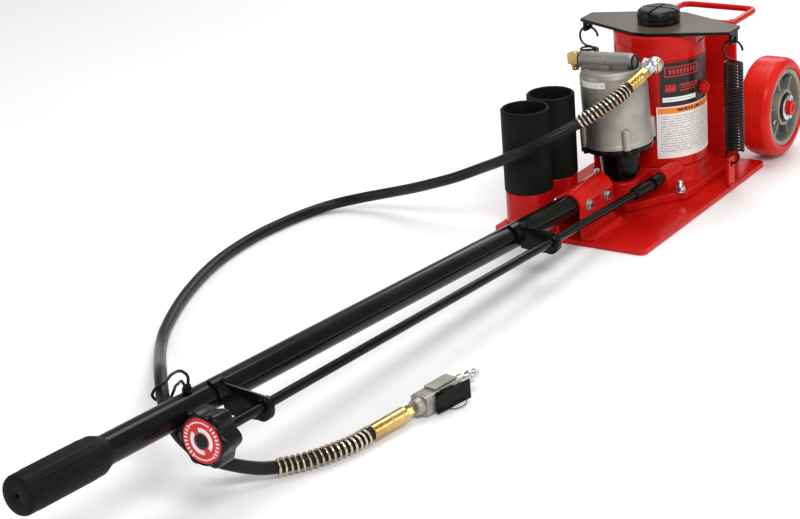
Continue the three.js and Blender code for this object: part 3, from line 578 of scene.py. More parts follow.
def addThrottleValve():
    s = valveSettings
    here = aimed(hose["valveStart"], hose["valveEnd"])
    half, length = s["half"], s["length"]
    boss = turned([(0, 0), (0.0082, 0), (0.0098, 0.0012), (0.0102, 0.004), (0.0112, 0.0075), (0.0112, 0.02),
        (0, 0.02)], "Y", 40)
    section = arcs((half - 0.005, half - 0.006, 0.005, 0, 90), (0.005 - half, half - 0.006, 0.005, 90, 180),
        (0.005 - half, 0.004 - half, 0.004, 180, 270), (half - 0.005, 0.004 - half, 0.004, 270, 360))
    grip = slab(section, 0.01, length - 0.007)
    grip = moved(grip, Matrix.Rotation(-pi / 2, 4, "X") @ Matrix.Scale(-1, 4, (0, 1, 0)))
    bmesh.ops.recalc_face_normals(grip, faces=grip.faces)
    hump = cube((-half * 0.7, 0.03, half - 0.004), (half * 0.66, length - 0.009, half + 0.0022))
    nose = turned([(0, length - 0.009), (0.0102, length - 0.009), (0.0102, length - 0.002), (0.009, length),
        (0, length)], "Y", 40)
    screws = [shifted(rod(0.0022, 0, 0.0012, "X", 12, 0.0003), half - 0.0004, along, 0.006)
        for along in (0.018, 0.023)]
    body = piece("valve_body", [boss, grip, hump, nose, *screws], castMetal, ["throttle_valve_body"],
        0.0014, place=here)

    stem = [(0, 0), (0.0088, 0), (0.0092, 0.0005), (0.0092, 0.0095), (0.0086, 0.0102), (0.0056, 0.0116),
        (0.0056, 0.019), (0.0075, 0.0208), (0.0076, 0.0248), (0.0053, 0.0268), (0.0052, 0.0318),
        (0.0061, 0.0328), (0.006, 0.0346), (0.0044, 0.036), (0.0032, 0.036), (0.003, 0.03), (0, 0.03)]
    nipple = piece("air_nipple", [shifted(turned(stem, "Y", 40), 0, length + 0.0003)], zincSteel,
        ["coupler_nipple"], 0.0003, place=here)

    thick, start, reach = 0.0016, s["leverStart"], s["leverLength"]
    leverHalf = s["leverHalf"]
    sheet = slab([(0, 0.004), (0.003, 0), (thick, 0), (thick, reach), (0, reach)], -leverHalf, leverHalf)
    flange = cube((-0.0045, 0.01, leverHalf - 0.0014), (thick, 0.03, leverHalf))
    ears = [cube((-0.0058, 0.0005, side * leverHalf - 0.0009), (0.004, 0.012, side * leverHalf + 0.0009))
        for side in (-0.8, 0.8)]
    pin = shifted(rod(0.0017, -leverHalf, leverHalf, "Z", 16, 0.0004), -0.002, 0.005)
    loop = wire(smoothPath([(0.0018, 0.016, -leverHalf + 0.001), (0.004, 0.02, -leverHalf - 0.001),
        (0.009, 0.03, -leverHalf - 0.0008), (0.0075, 0.04, -leverHalf),
        (0.0018, 0.046, -leverHalf + 0.002)], 8), 0.00055, rise=2)
    tilt = tilted((half + 0.001, start, 0), -7, "Z")
    lever = piece("trigger_plate", [sheet, flange, *ears, pin, loop], blackPaint, ["throttle_lever"],
        0.0004, body="throttle_lever", place=here @ tilt)
    return body, lever, nipple


def beadAlong(points, ring=False, radius=0.0026):  # a rippled weld bead
    spots = []
    for a, b in zip(points, points[1:] + (points[:1] if ring else [])):
        a, b = Vector(a), Vector(b)
        count = max(1, round((b - a).length / 0.0018))
        spots += [a.lerp(b, i / count) for i in range(count)]
    ripple = lambda i: 1 + 0.16 * sin(i * 2.4) + 0.1 * sin(i * 0.37 + 1)
    return wire(spots, radius, swell=ripple, ring=ring, rise=2)


def addBase():
    low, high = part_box("base_plate")
    r = 0.01
    outline = arcs((high.x - r, low.y + r, r, -90, 0), (high.x - r, high.y - r, r, 0, 90),
        (low.x + r, high.y - r, r, 90, 180), (low.x + r, low.y + r, r, 180, 270))
    piece("ground_plate", [slab(outline, 0, high.z)], redPaint, ["base_plate"], 0.0011)
    dot = shifted(turned([(0, 0), (0.0055, 0), (0.005, 0.0016), (0.003, 0.0026), (0, 0.003)], "Z", 24),
        0.094, -0.134, high.z)
    top = high.z
    beads = [dot]
    for name in ("extension_post_front", "extension_post_rear"):
        a, b, m = size(name)
        beads.append(beadAlong([(x, y, top + 0.001) for x, y in arc(m.x, m.y, (b.x - a.x) / 2 + 0.0008, 0,
            350, 36)], True))
    a, b, m = size("rear_frame")
    beads.append(beadAlong([(a.x, a.y - 0.0005, top + 0.001), (b.x, a.y - 0.0005, top + 0.001)]))
    a, b, m = size("handle_socket")
    for x in (a.x - 0.0005, b.x + 0.0005):
        beads.append(beadAlong([(x, a.y + 0.004, top + 0.001), (x, b.y - 0.004, top + 0.001)]))
    for name in ("spring_lug_left", "spring_lug_right"):
        a, b, m = size(name)
        for x in (a.x, b.x):
            beads.append(beadAlong([(x, a.y, top + 0.0008), (x, b.y, top + 0.0008)], radius=0.0019))
    piece("weld_beads", beads, redPaint, edge=0)


def addCasting():
    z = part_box("base_casting")[0].z
    flangeTop = z + 0.012
    bodyTop = flangeTop + 0.024
    px, py = -0.004, -0.124
    outline = arcs((0.066, -0.074, 0.014, 285, 360), (0.068, 0.044, 0.012, 0, 45),
        (0.038, 0.078, 0.006, 45, 90), (-0.038, 0.078, 0.006, 90, 135), (-0.068, 0.044, 0.012, 135, 180),
        (-0.066, -0.074, 0.014, 180, 255), (px - 0.02, py - 0.029, 0.01, 210, 270),
        (px + 0.02, py - 0.029, 0.01, 270, 330))
    flange = slab(outline, z, flangeTop)
    r = 0.07
    fillet = arc(r + 0.008, flangeTop + 0.007, 0.008, 270, 180, 5)
    body = turned([(0, flangeTop - 0.001), *fillet, (r, bodyTop - 0.003), (r - 0.001, bodyTop - 0.0008),
        (r - 0.003, bodyTop), (0, bodyTop)], "Z", 96)
    columnTop = flangeTop + 0.026
    column = turned([(0, flangeTop - 0.001), (0.033, flangeTop - 0.001), (0.0295, flangeTop + 0.0012),
        (0.0275, flangeTop + 0.005), (0.027, flangeTop + 0.009), (0.027, columnTop - 0.002),
        (0.025, columnTop), (0, columnTop)], "Z", 64)
    web = cube((px - 0.02, py, flangeTop - 0.001), (px + 0.02, -0.055, columnTop - 0.004))
    sx, sz, front = 0.044, 0.0422, -0.096
    box = cube((sx - 0.0125, front + 0.004, flangeTop - 0.001), (sx + 0.0125, -0.052, sz))
    barrel = turned([(0, 0), (0.0105, 0), (0.0125, 0.0015), (0.013, 0.004), (0.013, 0.05), (0, 0.05)], "Y",
        48)
    piece("hydraulic_base", [flange, body, shifted(column, px, py), web, box,
        shifted(barrel, sx, front, sz)], redCasting, ["base_casting"], 0.0022)
    for side in ("left", "right"):
        b, m = size(f"flange_bolt_{side}")[1:]
        washer = pipe(0.0048, 0.0092, flangeTop + 0.0002, flangeTop + 0.0016, steps=32, chamfer=0.0003)
        nut = hexHead(0.008, flangeTop + 0.0016, flangeTop + 0.0086)
        thread = [(0, flangeTop), (0.0045, flangeTop)]
        for i in range(10):
            at = flangeTop + 0.0086 + i * 0.0008
            thread += [(0.0045, at), (0.0041, at + 0.0004)]
        thread += [(0.0038, b.z), (0, b.z)]
        shapes = [shifted(s, m.x, m.y) for s in (washer, nut, turned(thread, "Z", 24))]
        piece(f"flange_nut_{side}", shapes, zincSteel, [f"flange_bolt_{side}"], 0.0002)


tank = {"labelLift": 5e-05, "degree": 0.0675 * pi / 180}  # a degree round the tank, in metres


def labelSkin(radius, fromAngle, toAngle, low, high):  # a thin curved sheet on the tank
    shape = bmesh.new()
    turn = Matrix.Rotation(radians(fromAngle), 4, "Z")
    corners = [turn @ Vector(spot) for spot in ((radius, 0, low), (radius, 0, high),
        (radius + 0.0003, 0, high), (radius + 0.0003, 0, low))]
    face = shape.faces.new([shape.verts.new(spot) for spot in corners])
    bmesh.ops.spin(shape, geom=[face, *face.edges, *face.verts], cent=(0, 0, 0), axis=axes["Z"],
        dvec=(0, 0, 0), angle=radians(toAngle - fromAngle), steps=48, use_merge=False, use_duplicate=False)
    return closedUp(shape)


def labelPlace(look):  # distance round the tank in metres, and height
    x, y, z = look.spots()
    angle = y.over(x)
    return angle * 0.0675, z


def inside(look, value, low, high, soft=0.0002):
    return look.step(value, low - soft, low + soft) * (1 - look.step(value, high - soft, high + soft))


def patch(look, start, end, low, high):  # a part of a label, in degrees round the tank and in height
    along, z = labelPlace(look)
    return inside(look, along, start * tank["degree"], end * tank["degree"]) * inside(look, z, low, high)


def darkLabelLook():
    look = Look("dark_label", Coat_Weight=0.1, Coat_Roughness=0.1, Specular_IOR_Level=0.3)
    along = labelPlace(look)[0]
    red, white = (0.6, 0.012, 0.01, 1), (0.82, 0.82, 0.8, 1)
    colour = look.mix(look.noise(90, 3) * 0.5, grey(0.006), grey(0.016))
    block = patch(look, -58, -10, 0.1835, 0.1985)
    hollow = 1 - patch(look, -56.5, -11.5, 0.185, 0.197)
    bars = look.step(look.add("ShaderNodeTexWave", {"wave_type": "BANDS", "bands_direction": "X"},
        {"Vector": look.add("ShaderNodeCombineXYZ", {}, {0: along, 1: 0.0, 2: 0.0}), "Scale": 55,
        "Distortion": 0.0}), 0.35, 0.4)
    mark = patch(look, -53, -15, 0.1875, 0.1945) * bars
    colour = look.mix(block * hollow, colour, red)
    colour = look.mix(mark, colour, red)
    for low, high, start, end in ((0.161, 0.1715, -58, -44), (0.1685, 0.171, -39, -12),
            (0.1645, 0.1665, -39, -12), (0.1605, 0.1625, -39, -16)):
        gaps = look.step(look.noise(900, 1, (1, 1, 0.2)), 0.42, 0.46)
        stroke = patch(look, start, end, low, high)
        colour = look.mix(stroke * gaps, colour, red)
    pill = patch(look, -61, -15, 0.1455, 0.1525)
    marks = patch(look, -57, -19, 0.1482, 0.1498)
    dashes = look.step(look.noise(1300, 1, (1, 1, 0.15)), 0.46, 0.5)
    colour = look.mix(pill, colour, white)
    colour = look.mix(pill * marks * dashes * 0.75, colour, grey(0.12))
    return look.done(colour, 0.24 + look.noise(40, 4) * 0.14)


def paleLabelLook():
    look = Look("pale_label", Coat_Weight=0.1, Coat_Roughness=0.12, Specular_IOR_Level=0.3)
    along, z = labelPlace(look)
    white = look.mix(look.noise(25, 4) * 0.6, (0.78, 0.77, 0.74, 1), (0.86, 0.855, 0.84, 1))
    colour = look.mix(inside(look, z, 0.1275, 0.1366) * (along > -67.6 * tank["degree"]), white,
        (0.86, 0.24, 0.02, 1))
    sign = patch(look, -44, 4, 0.1302, 0.1343)
    ticks = look.step(look.noise(520, 1, (1, 1, 0.12)), 0.42, 0.46)
    colour = look.mix(sign * ticks, colour, grey(0.02))
    rows = (z / 0.0038).part()
    row = inside(look, rows, 0.22, 0.62, 0.06) * inside(look, z, 0.0665, 0.1255)
    words = look.step(look.noise(1000, 2, (1, 1, 0.18)), 0.44, 0.5)
    column = inside(look, along, -64.5 * tank["degree"], 34 * tank["degree"])
    return look.done(look.mix(row * words * column * 0.8, colour, (0.1, 0.1, 0.11, 1)),
        0.34 + look.noise(40, 4) * 0.14)


def addTank():
    low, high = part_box("reservoir_tank")
    r = high.y
    wall = [(r - 0.004, low.z), (r - 0.0015, low.z), (r, low.z + 0.0012), (r, high.z - 0.001),
        (r - 0.001, high.z), (r - 0.004, high.z), (r - 0.004, low.z)]
    piece("oil_tank", [turned(wall, "Z", 128)], redPaint, ["reservoir_tank"], 0)
    for name, look, start, end, bottom, top in (("label_dark", darkLabelLook(), -64, 38, 0.139, 0.205),
            ("label_pale", paleLabelLook(), -69, 40, 0.059, 0.138)):
        piece(name, [labelSkin(r + tank["labelLift"], start, end, bottom, top)], look, edge=0)

    a, b, m = size("filler_plug")
    z = (a.z + b.z) / 2
    plug = turned([(0, r - 0.001), (0.0092, r - 0.001), (0.0096, r + 0.002), (0.009, r + 0.0062),
        (0.0072, r + 0.0095), (0.004, r + 0.0112), (0.0028, r + 0.0102), (0, r + 0.0098)], "X", 48)
    ribs = []
    for i in range(10):
        rib = shifted(cube((r + 0.0005, -0.0011, 0), (r + 0.0072, 0.0011, 0.0016)), 0, 0, 0.0086)
        ribs.append(spun(rib, i / 10, "X"))
    piece("filler_cap", [shifted(s, 0, m.y, z) for s in (plug, *ribs)], redPaint, ["filler_plug"], 0.0004)


def addCapNut():
    low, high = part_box("cap_nut")
    r, bore = high.y, 0.0264
    split = high.z - 0.017
    lower = turned([(bore, low.z), (r - 0.0008, low.z), (r, low.z + 0.0008), (r, split), (bore, split),
        (bore, low.z)], "Z", 128)
    upper = turned([(bore, split), (r, split), (r, high.z - 0.0022), (r - 0.0022, high.z), (bore, high.z),
        (bore, split)], "Z", 128)
    for angle in (5, 125, 245):
        out = Vector((cos(radians(angle)), sin(radians(angle)), 0))
        made = bmesh.ops.bisect_plane(upper, geom=upper.verts[:] + upper.edges[:] + upper.faces[:],
            plane_co=out * (r - 0.002), plane_no=out, clear_outer=True)
        rim = [part for part in made["geom_cut"] if isinstance(part, bmesh.types.BMEdge)]
        bmesh.ops.holes_fill(upper, edges=rim)
    piece("gland_nut", [lower, closedUp(upper)], redPaint, ["cap_nut"], 0.0007)


def addRam():
    low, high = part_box("ram")
    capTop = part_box("cap_nut")[1].z
    shaft = turned([(0, low.z), (0.03, low.z), (0.03, low.z + 0.02), (0.026, low.z + 0.02),
        (0.026, capTop - 0.002), (0.018, capTop - 0.002), (0.018, high.z), (0, high.z)], "Z", 64)
    piece("ram_rod", [shaft], zincSteel, ["ram"], 0.0004, body="ram")

    low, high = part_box("saddle")
    z, top, r = low.z, high.z, high.x
    dome = [(r - 0.01 + 0.01 * sin(a), top - 0.0085 + 0.0085 * cos(a))
        for a in (radians(t) for t in (12, 25, 38, 51, 64, 77, 90))]
    head = turned([(0.0185, z), (r - 0.003, z), (r - 0.0008, z + 0.0014), (r - 0.0004, z + 0.004),
        (r - 0.0016, z + 0.0062), (r, z + 0.0078), *reversed(dome), (r - 0.011, top), (0, top),
        (0, z + 0.002), (0.0185, z + 0.002), (0.0185, z)], "Z", 96)
    cut = 0.0021
    for x, y in ((1, 0), (-1, 0), (0, 1), (0, -1)):
        bmesh.ops.bisect_plane(head, geom=head.verts[:] + head.edges[:] + head.faces[:],
            plane_co=(x * cut, y * cut, 0), plane_no=(x, y, 0))
    sunk = []
    for face in head.faces:
        middle = face.calc_center_median()
        if min(abs(middle.x), abs(middle.y)) < cut and middle.z > top - 0.0075 and (face.normal.z > 0.1):
            sunk.append(face)
    made = bmesh.ops.extrude_face_region(head, geom=sunk)
    bmesh.ops.translate(head, vec=(0, 0, -0.0035), verts=[p for p in made["geom"]
        if isinstance(p, bmesh.types.BMVert)])
    bmesh.ops.delete(head, geom=sunk, context="FACES")
    piece("lifting_saddle", [closedUp(head)], saddleLook(), ["saddle"], body="ram", slot="black_paint")

    plate = cadCopy("return_plate")
    for face in plate.faces:
        if face.normal.z > 0.9 and face.calc_center_median().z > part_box("return_plate")[1].z - 0.0005:
            face.material_index = 1
    piece("return_bar", [plate], blackPaint, ["return_plate"], 0.0012, body="ram", slot="plate_paint",
        extra=(plateTop,))


def saddleLook():  # hard black iron with a turned and knurled face
    look = Look("saddle_iron", Metallic=0.2, Specular_IOR_Level=0.25)
    rings = look.add("ShaderNodeTexWave", {"wave_type": "RINGS", "rings_direction": "Z"},
        {"Vector": look.place(), "Scale": 150, "Distortion": 1.5, "Detail": 2})
    worn = look.step(look.noise(60, 6), 0.5, 0.74)
    look.bump(rings + look.noise(240, 4), 0.35, 0.0007)
    return look.done(look.mix(worn, grey(0.004), (0.018, 0.019, 0.017, 1)), 0.3 + worn * 0.2)


spring = {"turns": 30, "steps": 20, "wire": 0.0017}


def addSprings():
    for side, sign in (("left", -1), ("right", 1)):
        r = spring["wire"]
        x = sign * 0.1185
        bottom, top = 0.062, 0.201
        coil = bmesh.new()
        ringVerts = bmesh.ops.create_circle(coil, cap_ends=True, segments=8, radius=r)["verts"]
        bmesh.ops.rotate(coil, verts=ringVerts, cent=(0, 0, 0), matrix=Matrix.Rotation(pi / 2, 3, "X"))
        bmesh.ops.translate(coil, verts=ringVerts, vec=(0.015 - r, 0, bottom + r))
        count = spring["turns"] * spring["steps"]
        rise = (top - bottom - 2 * r) / count
        bmesh.ops.spin(coil, geom=coil.verts[:] + coil.edges[:] + coil.faces[:], cent=(0, 0, 0),
            axis=axes["Z"], dvec=(0, 0, rise), angle=fullTurn * spring["turns"], steps=count,
            use_merge=False, use_duplicate=False)
        lowX = (size(f"spring_lug_{side}")[2].x - x) / 2
        ends = ((0, top + 0.017 - r, 0.017 - r, -80, -355, (0.013, -0.001, top - 0.003),
            (0.008, -0.004, top - 0.0008)), (lowX, bottom - 0.012 + 2 * r, 0.012 - r, 100, 400,
            (0.0125, 0.002, bottom + 0.003), (0.006, 0.003, bottom + 0.001)))
        hooks = []
        for across, centre, ring, first, last, *start in ends:
            loop = [(a, 0, b) for a, b in arc(across, centre, ring, first, last, 12)]
            hooks.append(wire(smoothPath([*start, *loop], 4), r, rise=2))
        obj = piece(f"coil_spring_{side}", [closedUp(coil), *hooks], springBlack, [f"return_spring_{side}"],
            0, body=None, place=Matrix.Translation((x, 0, 0)))
        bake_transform(obj)
        piece(f"spring_anchor_{side}", [cadCopy(f"spring_lug_{side}")], redPaint, [f"spring_lug_{side}"],
            0.0012)


def addRearFrame():
    low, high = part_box("rear_frame")
    r = 0.006
    corners = arcs((high.x - r, high.z - r, r, 0, 90), (low.x + r, high.z - r, r, 90, 180))
    outline = [(high.x, low.z), *corners, (low.x, low.z)]
    plate = slab(outline, 0, high.y - low.y)
    plate = moved(plate, tilted((0, high.y, 0), 90))
    piece("back_plate", [plate], redPaint, ["rear_frame"], 0.0012)
    for side in ("left", "right"):
        piece(f"axle_web_{side}", [cadCopy(f"axle_arm_{side}")], redPaint, [f"axle_arm_{side}"], 0.0014)
    low, high, mid = size("carry_loop")
    r, bend, y = 0.0048, 0.014, low.y
    half = high.x - r
    rear = high.y - r
    bends = arcs((-half + bend, rear - bend, bend, 180, 90), (half - bend, rear - bend, bend, 90, 0))
    knee = rear - bend - 0.004
    path = [(a, b, mid.z) for a, b in ((-half, y), (-half, knee), *bends, (half, knee), (half, y))]
    beads = []
    for side in (-1, 1):
        ring = [(a, b, 0) for a, b in arc(0, 0, 0.0052, 0, 345, 23)]
        bead = wire(ring, 0.0021, ring=True, rise=2, swell=lambda i: 1 + 0.15 * sin(i * 2.2))
        beads.append(moved(bead, tilted((side * half, y + 0.0022, mid.z), 90)))
    piece("carry_handle", [wire(path, r, rise=4), *beads], redPaint, ["carry_loop"], 0)


wheel = {"radius": 0.0762, "half": 0.0254, "rim": 0.0594, "seat": 0.022, "ribs": 6}


def addWheels():
    mid = size("axle")[2]
    r = 0.0115
    ends = [(0, 0.1364), (0.004, 0.1364), (0.0052, 0.138), (r - 0.0012, 0.138), (r, 0.1368)]
    profile = [(radius, -along) for radius, along in ends] + ends[::-1]
    piece("axle_shaft", [shifted(turned(profile, "X", 48), 0, mid.y, mid.z)], redPaint, ["axle"], 0)
    outer, half, rim = wheel["radius"], wheel["half"], wheel["rim"]
    shoulder = [(outer - 0.0105 + 0.0105 * cos(a), half - 0.013 + 0.013 * sin(a))
        for a in (radians(t) for t in (4, 14, 28, 42, 56, 70, 82, 90))]
    side = [(rim + 0.0003, half - 0.003), (rim + 0.0012, half - 0.001), (rim + 0.003, half),
        *reversed(shoulder), (outer - 0.0001, half - 0.0155)]
    middle = [(outer, 0.0006), (outer + 0.0003, 0.0004), (outer + 0.0003, -0.0004), (outer, -0.0006)]
    tyre = side + middle + [(a, -b) for a, b in reversed(side)]
    tyre.append(tyre[0])
    seat = wheel["seat"] + 0.0003
    hubHalf = half - 0.002
    face = [(seat, hubHalf - 0.0006), (seat + 0.0008, hubHalf), (seat + 0.0045, hubHalf),
        (seat + 0.006, hubHalf - 0.0016), (seat + 0.0072, 0.0095), (seat + 0.009, 0.008),
        (rim - 0.0115, 0.0072), (rim - 0.0095, 0.009), (rim - 0.0075, hubHalf - 0.002),
        (rim - 0.006, hubHalf), (rim - 0.0006, hubHalf), (rim, hubHalf - 0.0008)]
    hubProfile = face + [(a, -b) for a, b in reversed(face)]
    hubProfile.append(hubProfile[0])
    for name, sign in (("left", -1), ("right", 1)):
        mid = size(f"tyre_{name}")[2]
        here = Matrix.Translation(mid)
        body = f"wheel_{name}"
        piece(f"tread_{name}", [turned(tyre, "X", 128)], tyreRed, [f"tyre_{name}"], 0, body=body,
            place=here)
        ribs = []
        for i in range(wheel["ribs"]):
            rib = cube((-half + 0.0062, -0.0019, seat + 0.004), (half - 0.0062, 0.0019, rim - 0.007))
            ribs.append(spun(rib, (i + 0.35) / wheel["ribs"], "X"))
        nip = turned([(0, 0), (0.0026, 0), (0.0026, 0.003), (0.0017, 0.0036), (0.0017, 0.006),
            (0.0024, 0.0068), (0.0022, 0.0082), (0, 0.009)], "Z", 16)
        nip = moved(nip, Matrix.Rotation(radians(120), 4, "X")
            @ Matrix.Translation((sign * 0.0165, 0, seat + 0.0068)))
        piece(f"wheel_centre_{name}", [turned(hubProfile, "X", 96), *ribs], hubGrey, [f"wheel_hub_{name}"],
            0.0012, body=body, place=here)
        piece(f"grease_nipple_{name}", [nip], zincSteel, edge=0.0002, body=body, place=here)
        race = [(0.0119, -half), (0.0205, -half), (0.022, -half + 0.0012), (0.022, half - 0.0012),
            (0.0205, half), (0.019, half), (0.0184, half - 0.0012), (0.0152, half - 0.0012), (0.0146, half),
            (0.0119, half), (0.0119, -half)]
        if sign < 0:
            race = [(a, -b) for a, b in race]
        piece(f"bearing_{name}", [turned(race, "X", 64)], springBlack, [f"wheel_bearing_{name}"], 0.0003,
            body=body, place=here)
        a, b, m = size(f"axle_washer_{name}")
        ring = [(0.0118, a.x), (0.0182, a.x), (0.019, a.x + 0.0006), (0.019, b.x - 0.0006), (0.0182, b.x),
            (0.0118, b.x), (0.0118, a.x)]
        piece(f"washer_{name}", [shifted(turned(ring, "X", 64), 0, m.y, m.z)], zincSteel,
            [f"axle_washer_{name}"], 0)
        a, b, m = size(f"axle_pin_{name}")
        pinShape = turned([(0, a.z), (0.0015, a.z), (0.002, a.z + 0.0012), (0.002, mid.z + 0.0125),
            (0.0019, mid.z + 0.0128), (0.0019, b.z - 0.0006), (0.0014, b.z), (0, b.z)], "Z", 24)
        bow = [(cos(t) * 0.0042, 0, sin(t) * 0.0034) for t in (radians(-120 + 300 * i / 20)
            for i in range(21))]
        bow = shifted(wire(bow, 0.0008, rise=2), 0, 0, mid.z + 0.0165)
        piece(f"split_pin_{name}", [shifted(pinShape, m.x, m.y), shifted(bow, m.x, m.y)], zincSteel,
            [f"axle_pin_{name}"], 0.0002)


def addExtensions():
    for name in ("front", "rear"):
        low, high, mid = size(f"extension_tube_{name}")
        r, inner = high.x - mid.x, high.x - mid.x - 0.0045
        tube = turned([(inner, low.z + 0.0008), (inner + 0.0008, low.z), (r - 0.0008, low.z),
            (r, low.z + 0.0008), (r, high.z - 0.0016), (r - 0.0014, high.z), (inner + 0.0012, high.z),
            (inner, high.z - 0.0012), (inner, low.z + 0.0008)], "Z", 112)
        piece(f"ram_extension_{name}", [shifted(tube, mid.x, mid.y)], satinBlack,
            [f"extension_tube_{name}"], 0, body=f"extension_{name}")
        low, high, mid = size(f"extension_post_{name}")
        r, top, stub = 0.034, 0.062, 0.029
        post = turned([(0, low.z), (r, low.z), (r, top - 0.0015), (r - 0.0012, top), (stub + 0.001, top),
            (stub, top + 0.001), (stub, high.z - 0.0028), (stub - 0.0028, high.z), (0, high.z)], "Z", 96)
        piece(f"extension_seat_{name}", [shifted(post, mid.x, mid.y)], redPaint, [f"extension_post_{name}"],
            0.0005)


handle = {"x": -0.004, "front": -0.284, "z": 0.0564, "rise": 4.18, "tube": 0.0167, "wall": 0.003,
    "reach": 1.1, "grip": 0.022, "gripLength": 0.124, "socketLength": 0.094, "socketWall": 0.004}
handlePlace = tilted((handle["x"], handle["front"], handle["z"]), -handle["rise"])


def boltPair(reach, radius, tail):  # a hexagon head on the right, a thread and nut on the left
    head = hexHead(radius, reach + 0.0013, reach + 0.0062, "X")
    washers = [pipe(0.0042, radius + 0.0012, reach + 0.0001, reach + 0.0012, "X", 32, 0.0002),
        pipe(0.0042, radius + 0.0012, -reach - 0.0012, -reach - 0.0001, "X", 32, 0.0002)]
    nut = hexHead(radius, -reach - 0.0072, -reach - 0.0013, "X")
    end = -reach - tail
    profile = [(0, end), (0.0033, end), (0.004, end + 0.0007)]
    at = end + 0.0012
    while at < -reach - 0.0075:
        profile += [(0.004, at), (0.0036, at + 0.00045)]
        at += 0.0009
    profile += [(0.004, -reach - 0.007), (0.004, reach + 0.002), (0, reach + 0.002)]
    return [head, nut, *washers, turned(profile, "X", 24)]


def addSocket():
    h = handle
    outer = h["tube"] + 0.0003 + h["socketWall"]
    inner = h["tube"] + 0.0003
    low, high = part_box("handle_socket")
    foot, flare = low.z, high.x - h["x"]
    right = [(inner, foot), (flare, foot), (flare, foot + 0.004), (flare - 0.001, foot + 0.005),
        (outer + 0.003, foot + 0.0055), (outer, foot + 0.009)]
    top = h["z"] - 0.0008
    outline = [*right, *arc(0, top, outer, 0, 180, 32), *[(-x, z) for x, z in reversed(right)],
        *arc(0, top - 0.004, inner, 180, 0, 32)]
    shell = slab(outline, 0, h["socketLength"])
    shell = moved(shell, tilted((h["x"], high.y, 0), 90))
    piece("socket_saddle", [shell], redPaint, ["handle_socket"], 0.0009, smooth=30)
    for name in ("front", "rear"):
        m = size(f"socket_bolt_{name}")[2]
        shapes = [shifted(s, h["x"], m.y, m.z) for s in boltPair(outer + 0.0003, 0.0072, 0.0115)]
        piece(f"cross_bolt_{name}", shapes, zincSteel, [f"socket_bolt_{name}"], 0.0002)


def addHandle():
    h = handle
    r, inner = h["tube"], h["tube"] - h["wall"]
    end = -h["reach"] + 0.008
    tube = pipe(inner, r, end, 0.088, "Y", 72, 0.0006)
    piece("tow_handle", [tube], blackPaint, ["handle_tube"], 0, place=handlePlace)
    g, reach, start = h["grip"], h["reach"], -(h["reach"] - h["gripLength"])
    grip = turned([(0, -reach + 0.0025), (0.0022, -reach + 0.0025), (0.0028, -reach + 0.0004),
        (0.0034, -reach), (g - 0.0034, -reach), (g - 0.001, -reach + 0.001), (g, -reach + 0.0035),
        (g, start - 0.013), (g - 0.0005, start - 0.011), (g - 0.004, start - 0.0015), (g - 0.0048, start),
        (r + 0.0003, start), (r + 0.0003, -reach + 0.007), (0, -reach + 0.007)], "Y", 96)
    flutes = []
    for i in range(24):  # low ribs along the grip
        rib = shifted(rod(0.0011, -reach + 0.016, start - 0.022, "Y", 8, 0.0006), 0, 0, g - 0.00072)
        flutes.append(spun(rib, i / 24, "Y"))
    piece("hand_grip", [grip, *flutes], gripRubber, ["handle_grip"], 0, place=handlePlace)

    at = -(h["reach"] - 0.263)
    up = r + 0.0003
    outward = [(-0.001, 0.002, up + 0.002), (-0.004, 0.007, 0.031), (-0.018, 0.013, 0.033),
        (-0.04, 0.022, 0.022), (-0.058, 0.029, 0.006), (-0.069, 0.027, -0.0015), (-0.0735, 0.025, -0.0105),
        (-0.071, 0.032, -0.019), (-0.062, 0.04, -0.018), (-0.057, 0.041, -0.01)]
    back = [(-0.057, 0.041, -0.01), (-0.05, 0.038, 0), (-0.036, 0.028, 0.01), (-0.02, 0.015, 0.02),
        (-0.004, 0.003, up + 0.002)]
    path = smoothPath([(x, at + y, z) for x, y, z in outward + back[1:]], 8)
    head = shifted(hexHead(0.0048, up + 0.0044, up + 0.0082), 0, at)
    washer = shifted(pipe(0.002, 0.0058, up + 0.0034, up + 0.0045, steps=28, chamfer=0.0002), 0, at)
    foot = shifted(rod(0.006, up + 0.0001, up + 0.0032, steps=28, chamfer=0.0004), 0, at)
    piece("hose_hook", [wire(path, 0.0018, rise=4), head, washer, foot], blackPaint, ["hose_guide"], 0.0002,
        place=handlePlace)


rodStart = (0.044, -0.132, 0.0422)
rodSlope = 3.44
rodPlace = tilted(rodStart, -rodSlope)
knobFace = -1.028  # along the rod


def addBrackets():
    for name, along in (("rear", 0.282), ("front", 0.918)):
        bush = pipe(0.0064, 0.0096, -along - 0.0062, -along + 0.0062, "Y", 40, 0.0006)
        shape = cadCopy(f"rod_bracket_{name}")
        bolts = []
        y = rodStart[1] - along - 0.028
        z = handle["z"] - (y - handle["front"]) * tan(radians(handle["rise"]))
        out = handle["tube"] + 0.0033
        for side in (-1, 1):
            screw = hexHead(0.0034, out, out + 0.0028)
            bolts.append(moved(screw, tilted((handle["x"], y + side * 0.005, z), 38, "Y")))
        piece(f"rod_hanger_{name}", [shape, moved(bush, rodPlace), *bolts], blackPaint,
            [f"rod_bracket_{name}"], 0.0007, smooth=32)


